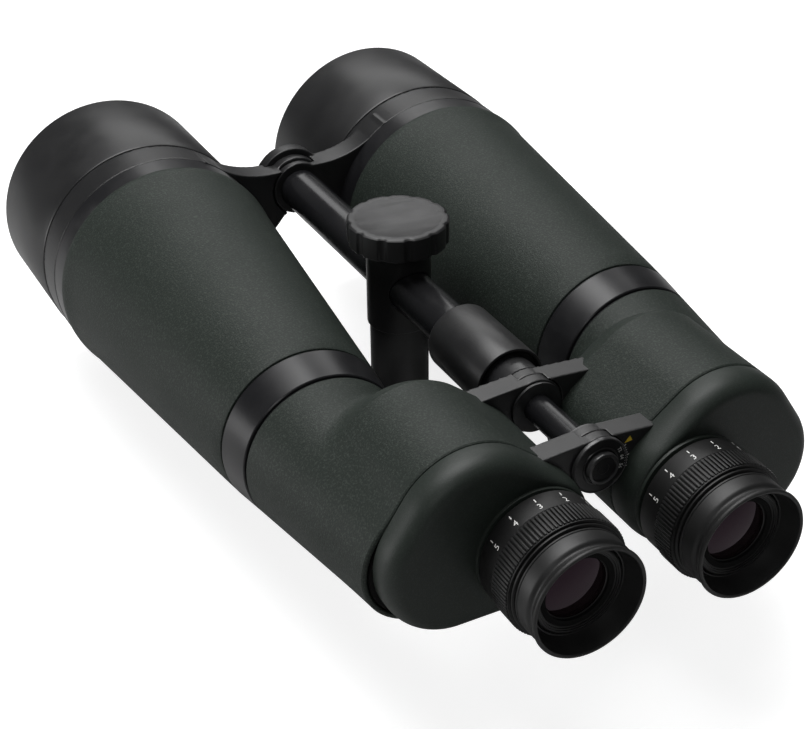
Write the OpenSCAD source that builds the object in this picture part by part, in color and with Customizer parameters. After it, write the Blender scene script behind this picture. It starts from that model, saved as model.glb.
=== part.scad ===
// Giant astronomy binoculars: two Porro-prism telescopes that fold on a centre bar,
// with a sliding clamp post that stands on a tripod screw.
// Frame: +Y points from the eyepieces to the objectives, +X to the user's right, +Z up.
// The origin is the centre of the tripod thread's mouth, on the foot of the post.

/* [Overall] */
// Length from the eyecup rims to the front of the hoods
overall_length = 375; // [312.5:0.5:450]
// Height of the objective axes above the foot of the post
axis_height = 55; // [52:0.5:66]
// Distance from the eyecup rims to the post at rest
post_station = 200; // [190:1:215]

/* [Optical axes] */
// Distance between the two objective axes
objective_spacing = 139.2; // [136:0.2:167]
// Distance between the two eyepiece axes at rest
eyepiece_spacing = 65.6; // [63:0.2:68]
// Height of the eyepiece axes above the objective axes
eyepiece_rise = 5; // [3:0.5:7]
// Height of the fold axis above the objective axes
hinge_rise = 20.7; // [20:0.1:22]

/* [Objective end] */
// Length of the hood in front of the yoke
hood_length = 59.5; // [49:0.5:71.5]
// Outer radius of the hood
hood_radius = 50.6; // [50.4:0.1:51.5]
// Wall of the hood at its mouth
hood_wall = 2.2; // [1.5:0.1:2.8]
// Length of the yoke ring
yoke_length = 15.5; // [14.5:0.1:18]
// Outer radius of the yoke ring
yoke_radius = 50.2; // [49.6:0.1:50.4]
// Length of the bare band of the objective cell
cell_band_length = 10.4; // [8:0.1:12.5]
// Radius of the objective cell inside the hood and yoke
cell_radius = 47; // [46.4:0.1:47.3]
// Radius of the objective lenses
objective_radius = 43.6; // [36.4:0.1:44]
// Edge thickness of the front objective lens
crown_edge = 4; // [3.4:0.1:4.8]
// Edge thickness of the rear objective lens
flint_edge = 10; // [9:0.1:12]

/* [Barrel] */
// Length of the black band behind the barrel armour
band_length = 18.1; // [15:0.1:21.8]
// Radius at the front edge of the barrel armour
armour_front_radius = 50.5; // [50:0.1:51]
// Radius where the cone of the barrel armour ends
armour_cone_radius = 49.6; // [49:0.1:50]
// Length of the rounded shoulder at the front of the armour
armour_shoulder = 7.6; // [6:0.1:9]
// Radius at the front of the black band
band_front_radius = 35.1; // [34:0.1:38]
// Radius at the rear of the black band
band_rear_radius = 32.5; // [31.8:0.1:33.8]
// Thickness of the rubber armour on the barrel
armour_thickness = 2.5; // [2:0.1:3]
// Wall of the metal barrel tube
tube_wall = 2.2; // [1.8:0.1:2.6]
// Radius of the tube's tail in the prism housing
tail_radius = 27.9; // [27:0.1:28.2]

/* [Prism housing] */
// Length of the prism housing from the cover seam to the black band
housing_length = 77.4; // [74:0.1:92]
// Radius of the tapering neck at the cover seam
neck_rear_radius = 21.8; // [20:0.1:24]
// Length of the rounded front shoulder
shoulder_length = 25; // [21:0.5:27]
// How far the shoulder draws in
shoulder_depth = 24; // [20:0.5:26]
// Share of the shoulder that slopes straight from its crease
shoulder_slope = 0.4; // [0.3:0.05:0.7]
// Thickness of the rubber armour on the housing
skin_thickness = 2; // [1.6:0.1:2.4]
// Wall of the housing casting
casting_wall = 2.5; // [2:0.1:3]
// Depth of the rear cover
cover_depth = 13; // [11:0.1:15]
// Inset of the rounded rear edge of the cover
cover_round = 5.5; // [4.5:0.1:6.5]
// Depth over which the cover's edge is rounded
cover_edge = 8; // [7:0.1:9]
// Length of each porro prism along its long face
prism_length = 50; // [46:0.5:51.5]
// Width of each porro prism
prism_width = 24; // [21:0.5:25]

/* [Eyepiece] */
// Depth of the rubber eyecup behind the focus ring
cup_length = 12.9; // [12.2:0.1:14.2]
// Radius of the eyecup's flared rim
cup_rim_radius = 22.1; // [21.6:0.1:23.6]
// Length of the ribbed grip of the focus ring
grip_length = 10.3; // [9:0.1:12.4]
// Radius of the ribbed grip
grip_radius = 23.9; // [23.5:0.1:24.6]
// Length of the numbered part of the focus ring
scale_length = 9; // [8.4:0.1:10.8]
// Free travel left in front of the focus ring
focus_room = 1.8; // [1.7:0.1:2.6]
// Outer radius of the fixed base tube
base_radius = 19.5; // [19:0.1:19.9]
// Outer radius of the sliding ocular cell
ocular_radius = 16; // [15.5:0.1:16.5]
// Radius of the eye lens
eye_lens_radius = 12.5; // [11.8:0.1:12.8]

/* [Centre bar and hinge] */
// Radius of the centre bar
bar_radius = 9.35; // [8:0.05:10]
// Radius of the axle between the rear arms
axle_radius = 5.6; // [5:0.1:6.2]
// Radius of the sleeve behind the bar
sleeve_radius = 14.5; // [13.6:0.1:15.5]
// Length of the sleeve
sleeve_length = 39.6; // [33:0.1:44]
// Radius of the rear hinge knuckles
knuckle_radius = 11.2; // [10.8:0.1:11.3]
// Width of each pair of rear hinge arms along the axle
arm_width = 9.2; // [8:0.1:11]
// Radius of the front ear of the yoke hinge
ear_radius = 16; // [15:0.1:17]

/* [Clamp post] */
// Radius of the post head round the bar
head_radius = 13.6; // [13.2:0.1:16]
// Radius of the post column
column_radius = 12.5; // [12:0.1:13]
// Radius of the clamp knob
knob_radius = 21.2; // [18:0.1:22.5]
// Thickness of the clamp knob
knob_height = 10.6; // [9:0.1:12.6]
// Radius of the clamp screw
screw_radius = 4; // [3.4:0.1:4.8]
// Radius of the tripod thread at its tapping size
thread_radius = 2.55; // [2.5:0.05:3.05]
// Depth of the tripod thread
thread_depth = 12; // [10:0.5:14.4]

/* [Fits] */
// Radial clearance of running fits and seats
slip = 0.05; // [0.02:0.01:0.09]
// Clearance between faces that pass each other
gap = 0.3; // [0.25:0.05:0.4]

/* [Hidden] */

$fn = 96;
left = -1;
right = 1;
armour_green = [0.24, 0.28, 0.26];
satin_black = [0.13, 0.13, 0.14];
cover_black = [0.10, 0.12, 0.11];
rubber_black = [0.08, 0.08, 0.08];
bare_metal = [0.6, 0.6, 0.62];
brass = [0.75, 0.6, 0.3];
glass_blue = [0.7, 0.8, 0.9, 0.4];

objective_x = objective_spacing / 2;
eye_x = eyepiece_spacing / 2;

// Stations along the optical axis, counted from the eyecup rim
y_hub = cup_length;
y_grip = y_hub + 1.8;
y_scale = y_grip + grip_length;
y_ring_front = y_scale + scale_length;
y_flange = y_ring_front + focus_room;
flange_thickness = 1.3;
y_cover = y_flange + flange_thickness;
y_seam = y_cover + cover_depth;
y_neck = y_seam + housing_length;
y_band = y_neck + band_length;
y_front = overall_length;
y_hood = y_front - hood_length;
y_yoke = y_hood - yoke_length;
y_armour = y_yoke - cell_band_length;
y_cone = y_armour - armour_shoulder;

// Radius of the barrel's and the housing neck's outer cones at a station
function lerp(a, b, t) = a + (b - a) * t;
function barrel_r(y) = lerp(band_front_radius, armour_cone_radius, (y - y_band) / (y_cone - y_band));
function neck_r(y) = lerp(neck_rear_radius, band_rear_radius, (y - y_seam) / housing_length);
function sag_radius(r, sag) = (r * r + sag * sag) / (2 * sag);

// Objective group
cell_bore = objective_radius + slip;
clear_radius = objective_radius - 1.1;
y_lens = y_yoke + 12;
y_cement = y_lens + flint_edge;
y_crown_front = y_cement + crown_edge;
retainer_length = 3.6;
y_cell_front = y_crown_front + 8;
front_sag = 5;
cement_sag = 6.5;
spigot_length = 8.6;
spigot_radius = armour_front_radius - armour_thickness - 3.2;

// Prism housing: the lobes of its outline as [x, z, radius]
lobes = [
    [objective_x - 9.1, 4, 28],
    [objective_x - 18.1, 14, 30],
    [eye_x + 0.7, eyepiece_rise + 0.7, 25.4],
    [eye_x + 12.2, eyepiece_rise - 6.3, 22.7]];
side_draw = 0.002;
// Share of the cover's rounding that each lobe gets; the lobe round the eyepiece keeps a full seat
cover_shares = [1, 1, 0.45, 1];
y_shoulder = y_neck - 8.4 - shoulder_length;
tail_length = 8.4;
casting_inset = skin_thickness + slip;
cavity_inset = casting_inset + casting_wall;

// Porro prisms: each one moves the beam by the same distance, at right angles to the other
beam_shift = norm([objective_x - eye_x, eyepiece_rise]) / sqrt(2);
shift_angle = atan2(eyepiece_rise, eye_x - objective_x) - 45;
prism_half = prism_length / 2;
shelf_thickness = 2;
y_shelf = y_seam + 26;
mid_point = [objective_x + beam_shift * cos(shift_angle), beam_shift * sin(shift_angle)];
eye_point = [eye_x, eyepiece_rise];
objective_point = [objective_x, 0];

// Eyepiece
neck_radius = ocular_radius - 1.5;
web_rear = y_hub - 2.3;
web_front = web_rear + 5.7;
y_base_rear = web_front + focus_room + 0.4;
y_base_front = y_seam - 2;
y_ocular_front = y_base_front - 2;
ocular_clear = eye_lens_radius - 1.2;
y_eye_lens = web_rear + 0.2;
y_field_lens = y_ocular_front - 5.5;

// Centre bar: rear arms, axle, hub, sleeve and yoke hinge
bar_rear = 111;
rear_arm = y_seam - 2.4;
front_arm = rear_arm + 42.3;
hub_radius = 11;
hub_rear = front_arm + arm_width + gap;
sleeve_rear = bar_rear - 2.6;
hub_front = sleeve_rear + 3;
disc_thickness = 1.8;
washer_thickness = 1;
half_knuckle = (arm_width - gap) / 2;
knuckle_clear = knuckle_radius + 0.5;
journal_radius = 7;
rear_ear_length = 3.9;
tongue_length = 4.8;
tongue_radius = 13.5;
rear_ear_radius = 12.5;
web_length = 12;
y_tongue = y_yoke + rear_ear_length + gap;
y_front_ear = y_tongue + tongue_length + gap;

// Clamp post
head_top = hinge_rise + 17.9;
head_bottom = hinge_rise - 18.7;
knob_bottom = head_top + 1;
insert_radius = thread_radius + 2.4;
pad_length = 4;
pad_bottom = hinge_rise + bar_radius + slip;
knob_notches = 12;

// Placement
module place() {
    translate([0, -post_station, axis_height]) children();
}
module on_side(side) {
    place() mirror([side == left ? 1 : 0, 0, 0]) children();
}
module at_objective() {
    translate([objective_x, 0, 0]) children();
}
module at_eye() {
    translate([eye_x, 0, eyepiece_rise]) children();
}
module at_hinge() {
    translate([0, 0, hinge_rise]) children();
}

// Round bodies on an axis along Y: a rod, a ring, a cone and a turned profile of [radius, y] points
module rod_y(y0, y1, r) {
    translate([0, y0, 0]) rotate([-90, 0, 0]) cylinder(h = y1 - y0, r = r);
}
module ring_y(y0, y1, r_out, r_in) {
    difference() {
        rod_y(y0, y1, r_out);
        rod_y(y0 - 1, y1 + 1, r_in);
    }
}
module cone_y(y0, y1, r0, r1) {
    translate([0, y0, 0]) rotate([-90, 0, 0]) cylinder(h = y1 - y0, r1 = r0, r2 = r1);
}
module turned_y(points) {
    rotate([-90, 0, 0]) rotate_extrude() polygon(points);
}
// A flat shape drawn in X and Z, given a thickness from y0 to y1
module plate_y(y0, y1) {
    translate([0, y1, 0]) rotate([90, 0, 0]) linear_extrude(y1 - y0) children();
}
// Points of a shallow spherical face from the axis out to its edge at radius r, on station y.
// A positive sag bulges the middle of the face towards -Y.
function face_arc(r, y, sag, steps = 10) =
    let (ball = sag_radius(r, abs(sag)))
    [for (i = [0:steps])
        let (at = r * i / steps)
        [at, y - sign(sag) * (sqrt(ball * ball - at * at) - sqrt(ball * ball - r * r))]];
function reversed(list) = [for (i = [len(list) - 1:-1:0]) list[i]];
// A lens whose edge runs from y0 to y1, with the sags of its rear and front faces
module lens_y(r, y0, y1, rear_sag, front_sag) {
    turned_y(concat(face_arc(r, y0, rear_sag), reversed(face_arc(r, y1, front_sag))));
}

// The housing's outline: circles joined by their outer tangents
function tangent(a, b) =
    let (d = [b[0] - a[0], b[1] - a[1]])
    let (turn = atan2(d[1], d[0]) - acos((a[2] - b[2]) / norm(d)))
    [[a[0] + a[2] * cos(turn), a[1] + a[2] * sin(turn)],
     [b[0] + b[2] * cos(turn), b[1] + b[2] * sin(turn)]];
function drawn_in(inset) = [for (lobe = lobes) [lobe[0], lobe[1], max(lobe[2] - inset, 0.5)]];
module outline(inset) {
    rounds = drawn_in(inset);
    // The straight sides lie a hair inside the tangents, so that each crosses its circles cleanly
    sides = drawn_in(inset + side_draw);
    // The lobes are met anticlockwise in this order: outer, top, eyepiece, lower
    loop = [for (i = [0:3]) tangent(sides[i], sides[(i + 1) % 4])];
    union() {
        for (one = rounds)
            translate([one[0], one[1]]) circle(one[2]);
        polygon([for (pair = loop) each pair]);
    }
}
// The hull of the outline drawn in by an inset at each station, as [y, inset] pairs.
// A lobe takes its own share of every inset.
module lofted(stations, shares = [1, 1, 1, 1]) {
    hull()
        for (i = [0:len(stations) - 2], lobe = [0:len(lobes) - 1])
            translate([lobes[lobe][0], 0, lobes[lobe][1]])
                cone_y(
                    stations[i][0], stations[i + 1][0], drawn_in(shares[lobe] * stations[i][1])[lobe][2],
                    drawn_in(shares[lobe] * stations[i + 1][1])[lobe][2], $fn = 32);
}
// Share of the shoulder's depth that is reached at a share of its length: a straight slope, then a curve
function shoulder_draw(t) = t * (shoulder_slope + (1 - shoulder_slope) * t);
// The prism body with its rounded front shoulder. A form that hollows another runs past its open ends.
module prism_body(inset, past_ends) {
    lofted(concat(
        [[y_seam - past_ends, inset]],
        [for (t = [0:0.25:1])
            [y_shoulder + t * (shoulder_length - inset), inset + shoulder_depth * shoulder_draw(t)]]));
}
module housing_form(inset, past_ends = 0) {
    y0 = y_seam - past_ends;
    y1 = y_neck + past_ends;
    prism_body(inset, past_ends);
    at_objective() cone_y(y0, y1, neck_r(y0) - inset, neck_r(y1) - inset);
}

// Objective end
module hood(side) {
    mouth = hood_radius - hood_wall;
    seat = cell_radius + slip;
    color(satin_black) on_side(side) at_objective()
        turned_y([
            [seat, y_hood], [hood_radius, y_hood], [hood_radius, y_front - 0.6], [hood_radius - 0.6, y_front],
            [mouth + 0.4, y_front], [mouth, y_front - 0.4], [mouth, y_cell_front + 2],
            [seat, y_cell_front + 1]]);
}
module yoke_web() {
    concave_r = 46.6;
    difference() {
        polygon([
            [0, hinge_rise + 10.4], [12, hinge_rise + 10.3], [44, 44], [objective_x, 44], [objective_x, -8],
            [20, -8], [13, hinge_rise - 18], [7.5, hinge_rise - 12], [0, hinge_rise - 10]]);
        translate([12, hinge_rise + 10.1 + concave_r]) circle(concave_r);
    }
}
module yoke_half(side) {
    own = side == right
        ? [[y_yoke, rear_ear_length, rear_ear_radius], [y_front_ear, y_hood - y_front_ear, ear_radius]]
        : [[y_tongue, tongue_length, tongue_radius]];
    other = side == right
        ? [[y_tongue - gap, tongue_length + 2 * gap, tongue_radius + 0.4]]
        : [[y_yoke - gap, rear_ear_length + 2 * gap, rear_ear_radius + 0.4],
           [y_front_ear - gap, y_hood - y_front_ear + 2 * gap, ear_radius + 0.4]];
    difference() {
        union() {
            plate_y(y_yoke, y_yoke + web_length) yoke_web();
            at_objective() rod_y(y_yoke, y_hood, yoke_radius);
            for (ear = own)
                at_hinge() rod_y(ear[0], ear[0] + ear[1], ear[2]);
        }
        for (ear = other)
            at_hinge() rod_y(ear[0], ear[0] + ear[1], ear[2]);
        at_objective() rod_y(y_yoke - 1, y_hood + 1, cell_radius + slip);
        at_hinge() rod_y(y_yoke - 1, y_hood + 1, journal_radius + slip);
    }
}
module yoke(side) {
    color(satin_black) on_side(side) yoke_half(side);
}
module objective_cell(side) {
    color(satin_black) on_side(side) at_objective()
        turned_y([
            [spigot_radius - 2, y_armour - spigot_length], [spigot_radius, y_armour - spigot_length],
            [spigot_radius, y_armour], [armour_front_radius - 0.5, y_armour],
            [armour_front_radius - 0.5, y_yoke], [cell_radius, y_yoke], [cell_radius, y_cell_front],
            [cell_bore, y_cell_front], [cell_bore, y_lens], [clear_radius, y_lens],
            [clear_radius, y_lens - 3]]);
}
module objective_retainer(side) {
    rear = y_crown_front + 0.4;
    color(satin_black) on_side(side) at_objective()
        ring_y(rear, rear + retainer_length, objective_radius, clear_radius);
}
module crown_lens(side) {
    color(glass_blue) on_side(side) at_objective()
        lens_y(objective_radius, y_cement + slip, y_crown_front, cement_sag, -front_sag);
}
module flint_lens(side) {
    rear_sag = 0.6;
    color(glass_blue) on_side(side) at_objective()
        lens_y(objective_radius, y_lens + rear_sag, y_cement, rear_sag, cement_sag);
}
// Barrel
module barrel_tube(side) {
    skin = armour_thickness + slip;
    bore = spigot_radius + slip;
    tail_bore = tail_radius - 1.7;
    front_inner = y_armour - spigot_length - 0.4;
    color(bare_metal) on_side(side) at_objective()
        turned_y([
            [tail_bore, y_neck - tail_length], [tail_radius, y_neck - tail_length], [tail_radius, y_band],
            [barrel_r(y_band) - skin, y_band], [barrel_r(y_cone) - skin, y_cone],
            [armour_front_radius - skin, y_armour], [bore, y_armour], [bore, front_inner],
            [barrel_r(front_inner) - skin - tube_wall, front_inner - 1],
            [barrel_r(y_band) - skin - tube_wall, y_band + 2], [tail_bore, y_band + 1]]);
}
module barrel_armour(side) {
    skin = armour_thickness;
    color(armour_green) on_side(side) at_objective()
        turned_y([
            [barrel_r(y_band) - skin, y_band], [barrel_r(y_band), y_band], [barrel_r(y_cone), y_cone],
            [armour_front_radius - 0.2, y_cone + 3], [armour_front_radius, y_cone + 5.5],
            [armour_front_radius, y_armour], [armour_front_radius - skin, y_armour],
            [barrel_r(y_cone) - skin, y_cone]]);
}
module neck_band(side) {
    groove = 0.7;
    color(satin_black) on_side(side) at_objective()
        turned_y([
            [tail_radius + slip, y_neck], [band_rear_radius - groove, y_neck],
            [band_rear_radius - groove, y_neck + groove], [band_rear_radius, y_neck + groove],
            [band_front_radius, y_band - groove], [band_front_radius - groove, y_band - groove],
            [band_front_radius - groove, y_band], [tail_radius + slip, y_band]]);
}

// Prism housing
module arm_profile() {
    translate([0, hinge_rise])
        polygon([
            [0, knuckle_radius - 0.3], [27, knuckle_radius - 2.4], [19.5, 0], [12.5, -10.5], [0, -9]]);
}
module arm_half(side, y0) {
    split = half_knuckle + gap;
    own_rear = side == left ? y0 : y0 + split;
    other_rear = side == left ? y0 + half_knuckle : y0 - 1;
    other_front = side == left ? y0 + arm_width + 1 : y0 + split;
    difference() {
        union() {
            plate_y(y0, y0 + arm_width) arm_profile();
            at_hinge() rod_y(own_rear, own_rear + half_knuckle, knuckle_radius);
        }
        at_hinge() rod_y(other_rear, other_front, knuckle_radius + 0.4);
        at_hinge() rod_y(y0 - 1, y0 + arm_width + 1, axle_radius + slip);
    }
}
module hinge_clearance() {
    at_hinge() rod_y(y_cover - 1, y_neck, knuckle_clear);
}
// A shell that follows the housing's shape between two insets, open at the seam and at the neck
module housing_shell(outer, inner) {
    difference() {
        housing_form(outer);
        housing_form(inner, 1);
        hinge_clearance();
    }
}
// The casting: a smooth shell with a neck for the barrel tube
module prism_housing(side) {
    neck_start = y_neck - tail_length;
    neck_outer = band_rear_radius - casting_inset - 1.2;
    color(satin_black) on_side(side)
        resize([0, 0, 0])
            difference() {
                union() {
                    housing_shell(casting_inset, cavity_inset);
                    at_objective() ring_y(neck_start, y_neck, neck_outer, tail_radius - 2);
                }
                at_objective() rod_y(neck_start, y_neck + 1, tail_radius + slip);
            }
}
// The two hinge arms, each let through the armour on to the casting
module hinge_arms(side) {
    color(satin_black) on_side(side)
        difference() {
            union()
                for (y0 = [rear_arm, front_arm])
                    arm_half(side, y0);
            lofted([[y_cover, casting_inset - slip], [front_arm + arm_width + 1, casting_inset - slip]]);
        }
}
module arm_slot(y0, y1) {
    plate_y(y0, y1) translate([0, hinge_rise])
        polygon([
            [0, knuckle_radius - 0.3 + slip], [40, knuckle_radius - 3.4 + slip], [40, -14], [0, -9 - slip]]);
}
module housing_armour(side) {
    color(armour_green) on_side(side)
        resize([0, 0, 0])
            difference() {
                housing_shell(0, skin_thickness);
                for (y0 = [rear_arm, front_arm])
                    arm_slot(y0 - slip, y0 + arm_width + slip);
            }
}
module rear_cover(side) {
    wall = 2.5;
    color(cover_black) on_side(side)
        difference() {
            union() {
                resize([0, 0, 0])
                    difference() {
                        lofted(concat(
                            [for (t = [0:22.5:90])
                                [y_cover + cover_edge * (1 - cos(t)), cover_round * (1 - sin(t))]],
                            [[y_seam - slip, 0]]), cover_shares);
                        plate_y(y_cover + wall, y_seam + 1) outline(cavity_inset);
                        hinge_clearance();
                        arm_slot(rear_arm - gap, y_seam + 1);
                    }
                at_eye() rod_y(y_flange, y_cover + 1, base_radius + 3.3);
            }
            at_eye() rod_y(y_flange - 1, y_seam, base_radius + slip);
        }
}

// Prisms on their shelf. A prism is drawn between two points of the beam.
module prism_between(p, q, y_face, points_to) {
    centre = (p + q) / 2;
    heading = atan2(q[1] - p[1], q[0] - p[0]);
    translate([centre[0], y_face, centre[1]]) rotate([0, -heading, 0])
        intersection() {
            translate([0, 0, -prism_width / 2]) linear_extrude(prism_width)
                polygon([[-prism_half, 0], [prism_half, 0], [0, points_to * prism_half]]);
            rotate([-90, 0, 0]) translate([0, 0, -prism_length])
                cylinder(h = 2 * prism_length, r = prism_half - 0.6);
        }
}
module rear_prism(side) {
    color(glass_blue) on_side(side) prism_between(objective_point, mid_point, y_shelf - slip, -1);
}
module front_prism(side) {
    color(glass_blue) on_side(side)
        prism_between(mid_point, eye_point, y_shelf + shelf_thickness + slip, 1);
}
module prism_shelf(side) {
    window = prism_width / 2 - 1;
    color(bare_metal) on_side(side)
        difference() {
            plate_y(y_shelf, y_shelf + shelf_thickness) outline(cavity_inset + gap);
            for (p = [objective_point, mid_point, eye_point])
                translate([p[0], 0, p[1]]) rod_y(y_shelf - 1, y_shelf + shelf_thickness + 1, window);
        }
}
// A sprung strap that runs from the shelf over the ridge of a prism
module clip_between(p, q, y_face, points_to) {
    strap = 0.8;
    width = 6;
    foot = prism_width / 2 + slip;
    top = prism_half + slip;
    centre = (p + q) / 2;
    heading = atan2(q[1] - p[1], q[0] - p[0]);
    translate([centre[0], y_face, centre[1]]) rotate([0, -heading, 0]) mirror([0, points_to < 0 ? 1 : 0, 0])
        translate([-width / 2, 0, 0]) rotate([90, 0, 90]) linear_extrude(width)
            polygon([
                [0, -foot - strap], [0, -foot], [top, -foot], [top, foot], [0, foot], [0, foot + strap],
                [top + strap, foot + strap], [top + strap, -foot - strap]]);
}
module prism_clips(side) {
    color(bare_metal) on_side(side) {
        clip_between(objective_point, mid_point, y_shelf - slip, -1);
        clip_between(mid_point, eye_point, y_shelf + shelf_thickness + slip, 1);
    }
}

// Eyepiece
module eyepiece_base(side) {
    color(satin_black) on_side(side) at_eye()
        ring_y(y_base_rear, y_base_front, base_radius, ocular_radius + slip);
}
module ocular_cell(side) {
    lens_seat = eye_lens_radius + slip;
    field_seat = ocular_radius - 2.2;
    shoulder = web_front + gap;
    color(satin_black) on_side(side) at_eye()
        turned_y([
            [neck_radius, web_rear - 2.2], [neck_radius, shoulder], [ocular_radius, shoulder],
            [ocular_radius, y_ocular_front], [field_seat, y_ocular_front], [field_seat, y_field_lens - 1],
            [ocular_clear, y_field_lens - 1], [ocular_clear, shoulder - 1.6], [lens_seat, shoulder - 1.6],
            [lens_seat, web_rear - 2.2]]);
}
module ocular_retainer(side) {
    rear = web_rear - 3.2;
    rim = neck_radius + 2.9;
    color(satin_black) on_side(side) at_eye()
        turned_y([
            [ocular_clear + 0.2, rear + 0.4], [ocular_clear + 0.6, rear], [rim - 0.5, rear],
            [rim, rear + 0.5], [rim, web_rear - 0.2], [neck_radius + slip, web_rear - 0.2],
            [neck_radius + slip, rear + 1 - slip], [ocular_clear + 0.2, rear + 1 - slip]]);
}
module eye_lens(side) {
    color(glass_blue) on_side(side) at_eye()
        lens_y(eye_lens_radius, y_eye_lens, y_eye_lens + 3, 2.2, -1.5);
}
module field_lens(side) {
    color(glass_blue) on_side(side) at_eye()
        lens_y(ocular_radius - 2.2 - slip, y_field_lens + 0.6, y_field_lens + 3.6, 1.4, -1.8);
}
module focus_ring(side) {
    hub = neck_radius + 6.1;
    color(rubber_black) on_side(side) at_eye()
        turned_y([
            [neck_radius + slip, web_rear], [hub, web_rear], [hub, y_hub + gap],
            [grip_radius - 1.3, y_hub + gap], [grip_radius - 1.3, y_grip], [grip_radius, y_grip],
            [grip_radius, y_scale], [grip_radius - 0.5, y_scale], [grip_radius - 0.5, y_ring_front],
            [base_radius + gap, y_ring_front], [base_radius + gap, web_front],
            [neck_radius + slip, web_front]]);
}
module eyecup(side) {
    hub = neck_radius + 6.1 + slip;
    lip = neck_radius + 3.3;
    skirt = hub + 1;
    color(rubber_black) on_side(side) at_eye()
        turned_y([
            [cup_rim_radius - 1.4, 0.3], [cup_rim_radius - 0.7, 0], [cup_rim_radius - 0.1, 0.4],
            [cup_rim_radius, 1.2], [cup_rim_radius - 0.6, 3.2], [cup_rim_radius - 1.5, 4.6],
            [skirt - 0.3, 5.4], [skirt, 7], [skirt, cup_length], [hub, cup_length], [hub, web_rear - slip],
            [lip, web_rear - slip], [lip, web_rear - 2]]);
}

// Centre bar
module hinge_bar() {
    color(satin_black) place() at_hinge() {
        rod_y(y_yoke - gap, y_hood + 0.6, journal_radius);
        rod_y(hub_front, y_yoke - gap, bar_radius);
        rod_y(hub_rear, hub_front, hub_radius);
        rod_y(rear_arm - disc_thickness - gap, hub_rear, axle_radius);
    }
}
module bar_sleeve() {
    bore = bar_radius + slip;
    mouth = hub_radius + 1.2;
    sleeve_front = sleeve_rear + sleeve_length;
    color(satin_black) place() at_hinge()
        turned_y([
            [bore, hub_front + slip], [mouth, hub_front + slip], [mouth, sleeve_rear],
            [sleeve_radius - 0.6, sleeve_rear], [sleeve_radius, sleeve_rear + 0.6],
            [sleeve_radius, sleeve_front - 1], [sleeve_radius - 1, sleeve_front], [bore, sleeve_front]]);
}
module hinge_washers() {
    washer_r = knuckle_radius - 0.8;
    color(bare_metal) place() at_hinge()
        for (y0 = [front_arm - gap - washer_thickness, rear_arm + arm_width + gap])
            ring_y(y0, y0 + washer_thickness, washer_r, axle_radius + slip);
}
module front_cap() {
    cap_y = y_hood + gap;
    color(satin_black) place() at_hinge()
        difference() {
            union() {
                rod_y(cap_y, cap_y + 2.5, journal_radius + 2.5);
                cone_y(cap_y + 2.5, cap_y + 4.2, journal_radius + 2.5, journal_radius);
            }
            rod_y(cap_y - 1, y_hood + 0.6 + slip, journal_radius + slip);
        }
}
module rear_cap() {
    y1 = rear_arm - disc_thickness - gap;
    cap_r = axle_radius + 0.7;
    color(satin_black) place() at_hinge()
        difference() {
            union() {
                rod_y(y1 - 1.4, y1, cap_r);
                cone_y(y1 - 2, y1 - 1.4, cap_r - 0.6, cap_r);
            }
            rod_y(y1 - 3, y1 - 1.2, axle_radius - 1.4);
        }
}
module scale_disc() {
    color(satin_black) place() at_hinge()
        ring_y(rear_arm - disc_thickness, rear_arm, knuckle_radius, axle_radius + slip);
}

// Clamp post, at the post station on the bar
module at_post() {
    translate([0, post_station, 0]) children();
}
module post_head() {
    color(satin_black) place()
        difference() {
            at_post() translate([0, 0, head_bottom]) cylinder(h = head_top - head_bottom, r = head_radius);
            at_hinge() rod_y(post_station - 30, post_station + 30, bar_radius + slip);
            at_post() translate([0, 0, hinge_rise]) cylinder(h = 30, r = screw_radius + slip);
            at_post() translate([0, 0, head_bottom - 1]) cylinder(h = 8.3, r = 8 + slip);
        }
}
module post_column() {
    color(satin_black) place() at_post()
        difference() {
            union() {
                translate([0, 0, -axis_height])
                    cylinder(h = axis_height + head_bottom, r = column_radius);
                translate([0, 0, head_bottom - 1]) cylinder(h = 8, r = 8);
            }
            translate([0, 0, -axis_height - 1])
                cylinder(h = thread_depth + 1, r = insert_radius + slip);
        }
}
module thread_insert() {
    color(brass) place() at_post() translate([0, 0, -axis_height])
        difference() {
            cylinder(h = thread_depth, r = insert_radius);
            translate([0, 0, -1]) cylinder(h = thread_depth + 2, r = thread_radius);
        }
}
module clamp_pad() {
    color(brass) place() at_post() translate([0, 0, pad_bottom]) cylinder(h = pad_length, r = screw_radius);
}
module clamp_screw() {
    screw_bottom = pad_bottom + pad_length + slip;
    color(bare_metal) place() at_post() translate([0, 0, screw_bottom])
        cylinder(h = knob_bottom + knob_height - 2 - screw_bottom, r = screw_radius);
}
module clamp_knob() {
    notch_r = 3;
    bevel = 0.8;
    color(satin_black) place() at_post() translate([0, 0, knob_bottom])
        difference() {
            union() {
                cylinder(h = bevel, r1 = knob_radius - bevel, r2 = knob_radius);
                translate([0, 0, bevel]) cylinder(h = knob_height - 2 * bevel, r = knob_radius);
                translate([0, 0, knob_height - bevel])
                    cylinder(h = bevel, r1 = knob_radius, r2 = knob_radius - bevel);
                translate([0, 0, -0.7]) cylinder(h = 1, r = screw_radius + 6);
            }
            translate([0, 0, -2]) cylinder(h = knob_height + slip, r = screw_radius + slip);
            for (i = [0:knob_notches - 1])
                rotate(i * 360 / knob_notches + 15) translate([knob_radius + notch_r - 0.8, 0, -1])
                    cylinder(h = knob_height + 2, r = notch_r);
        }
}

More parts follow.
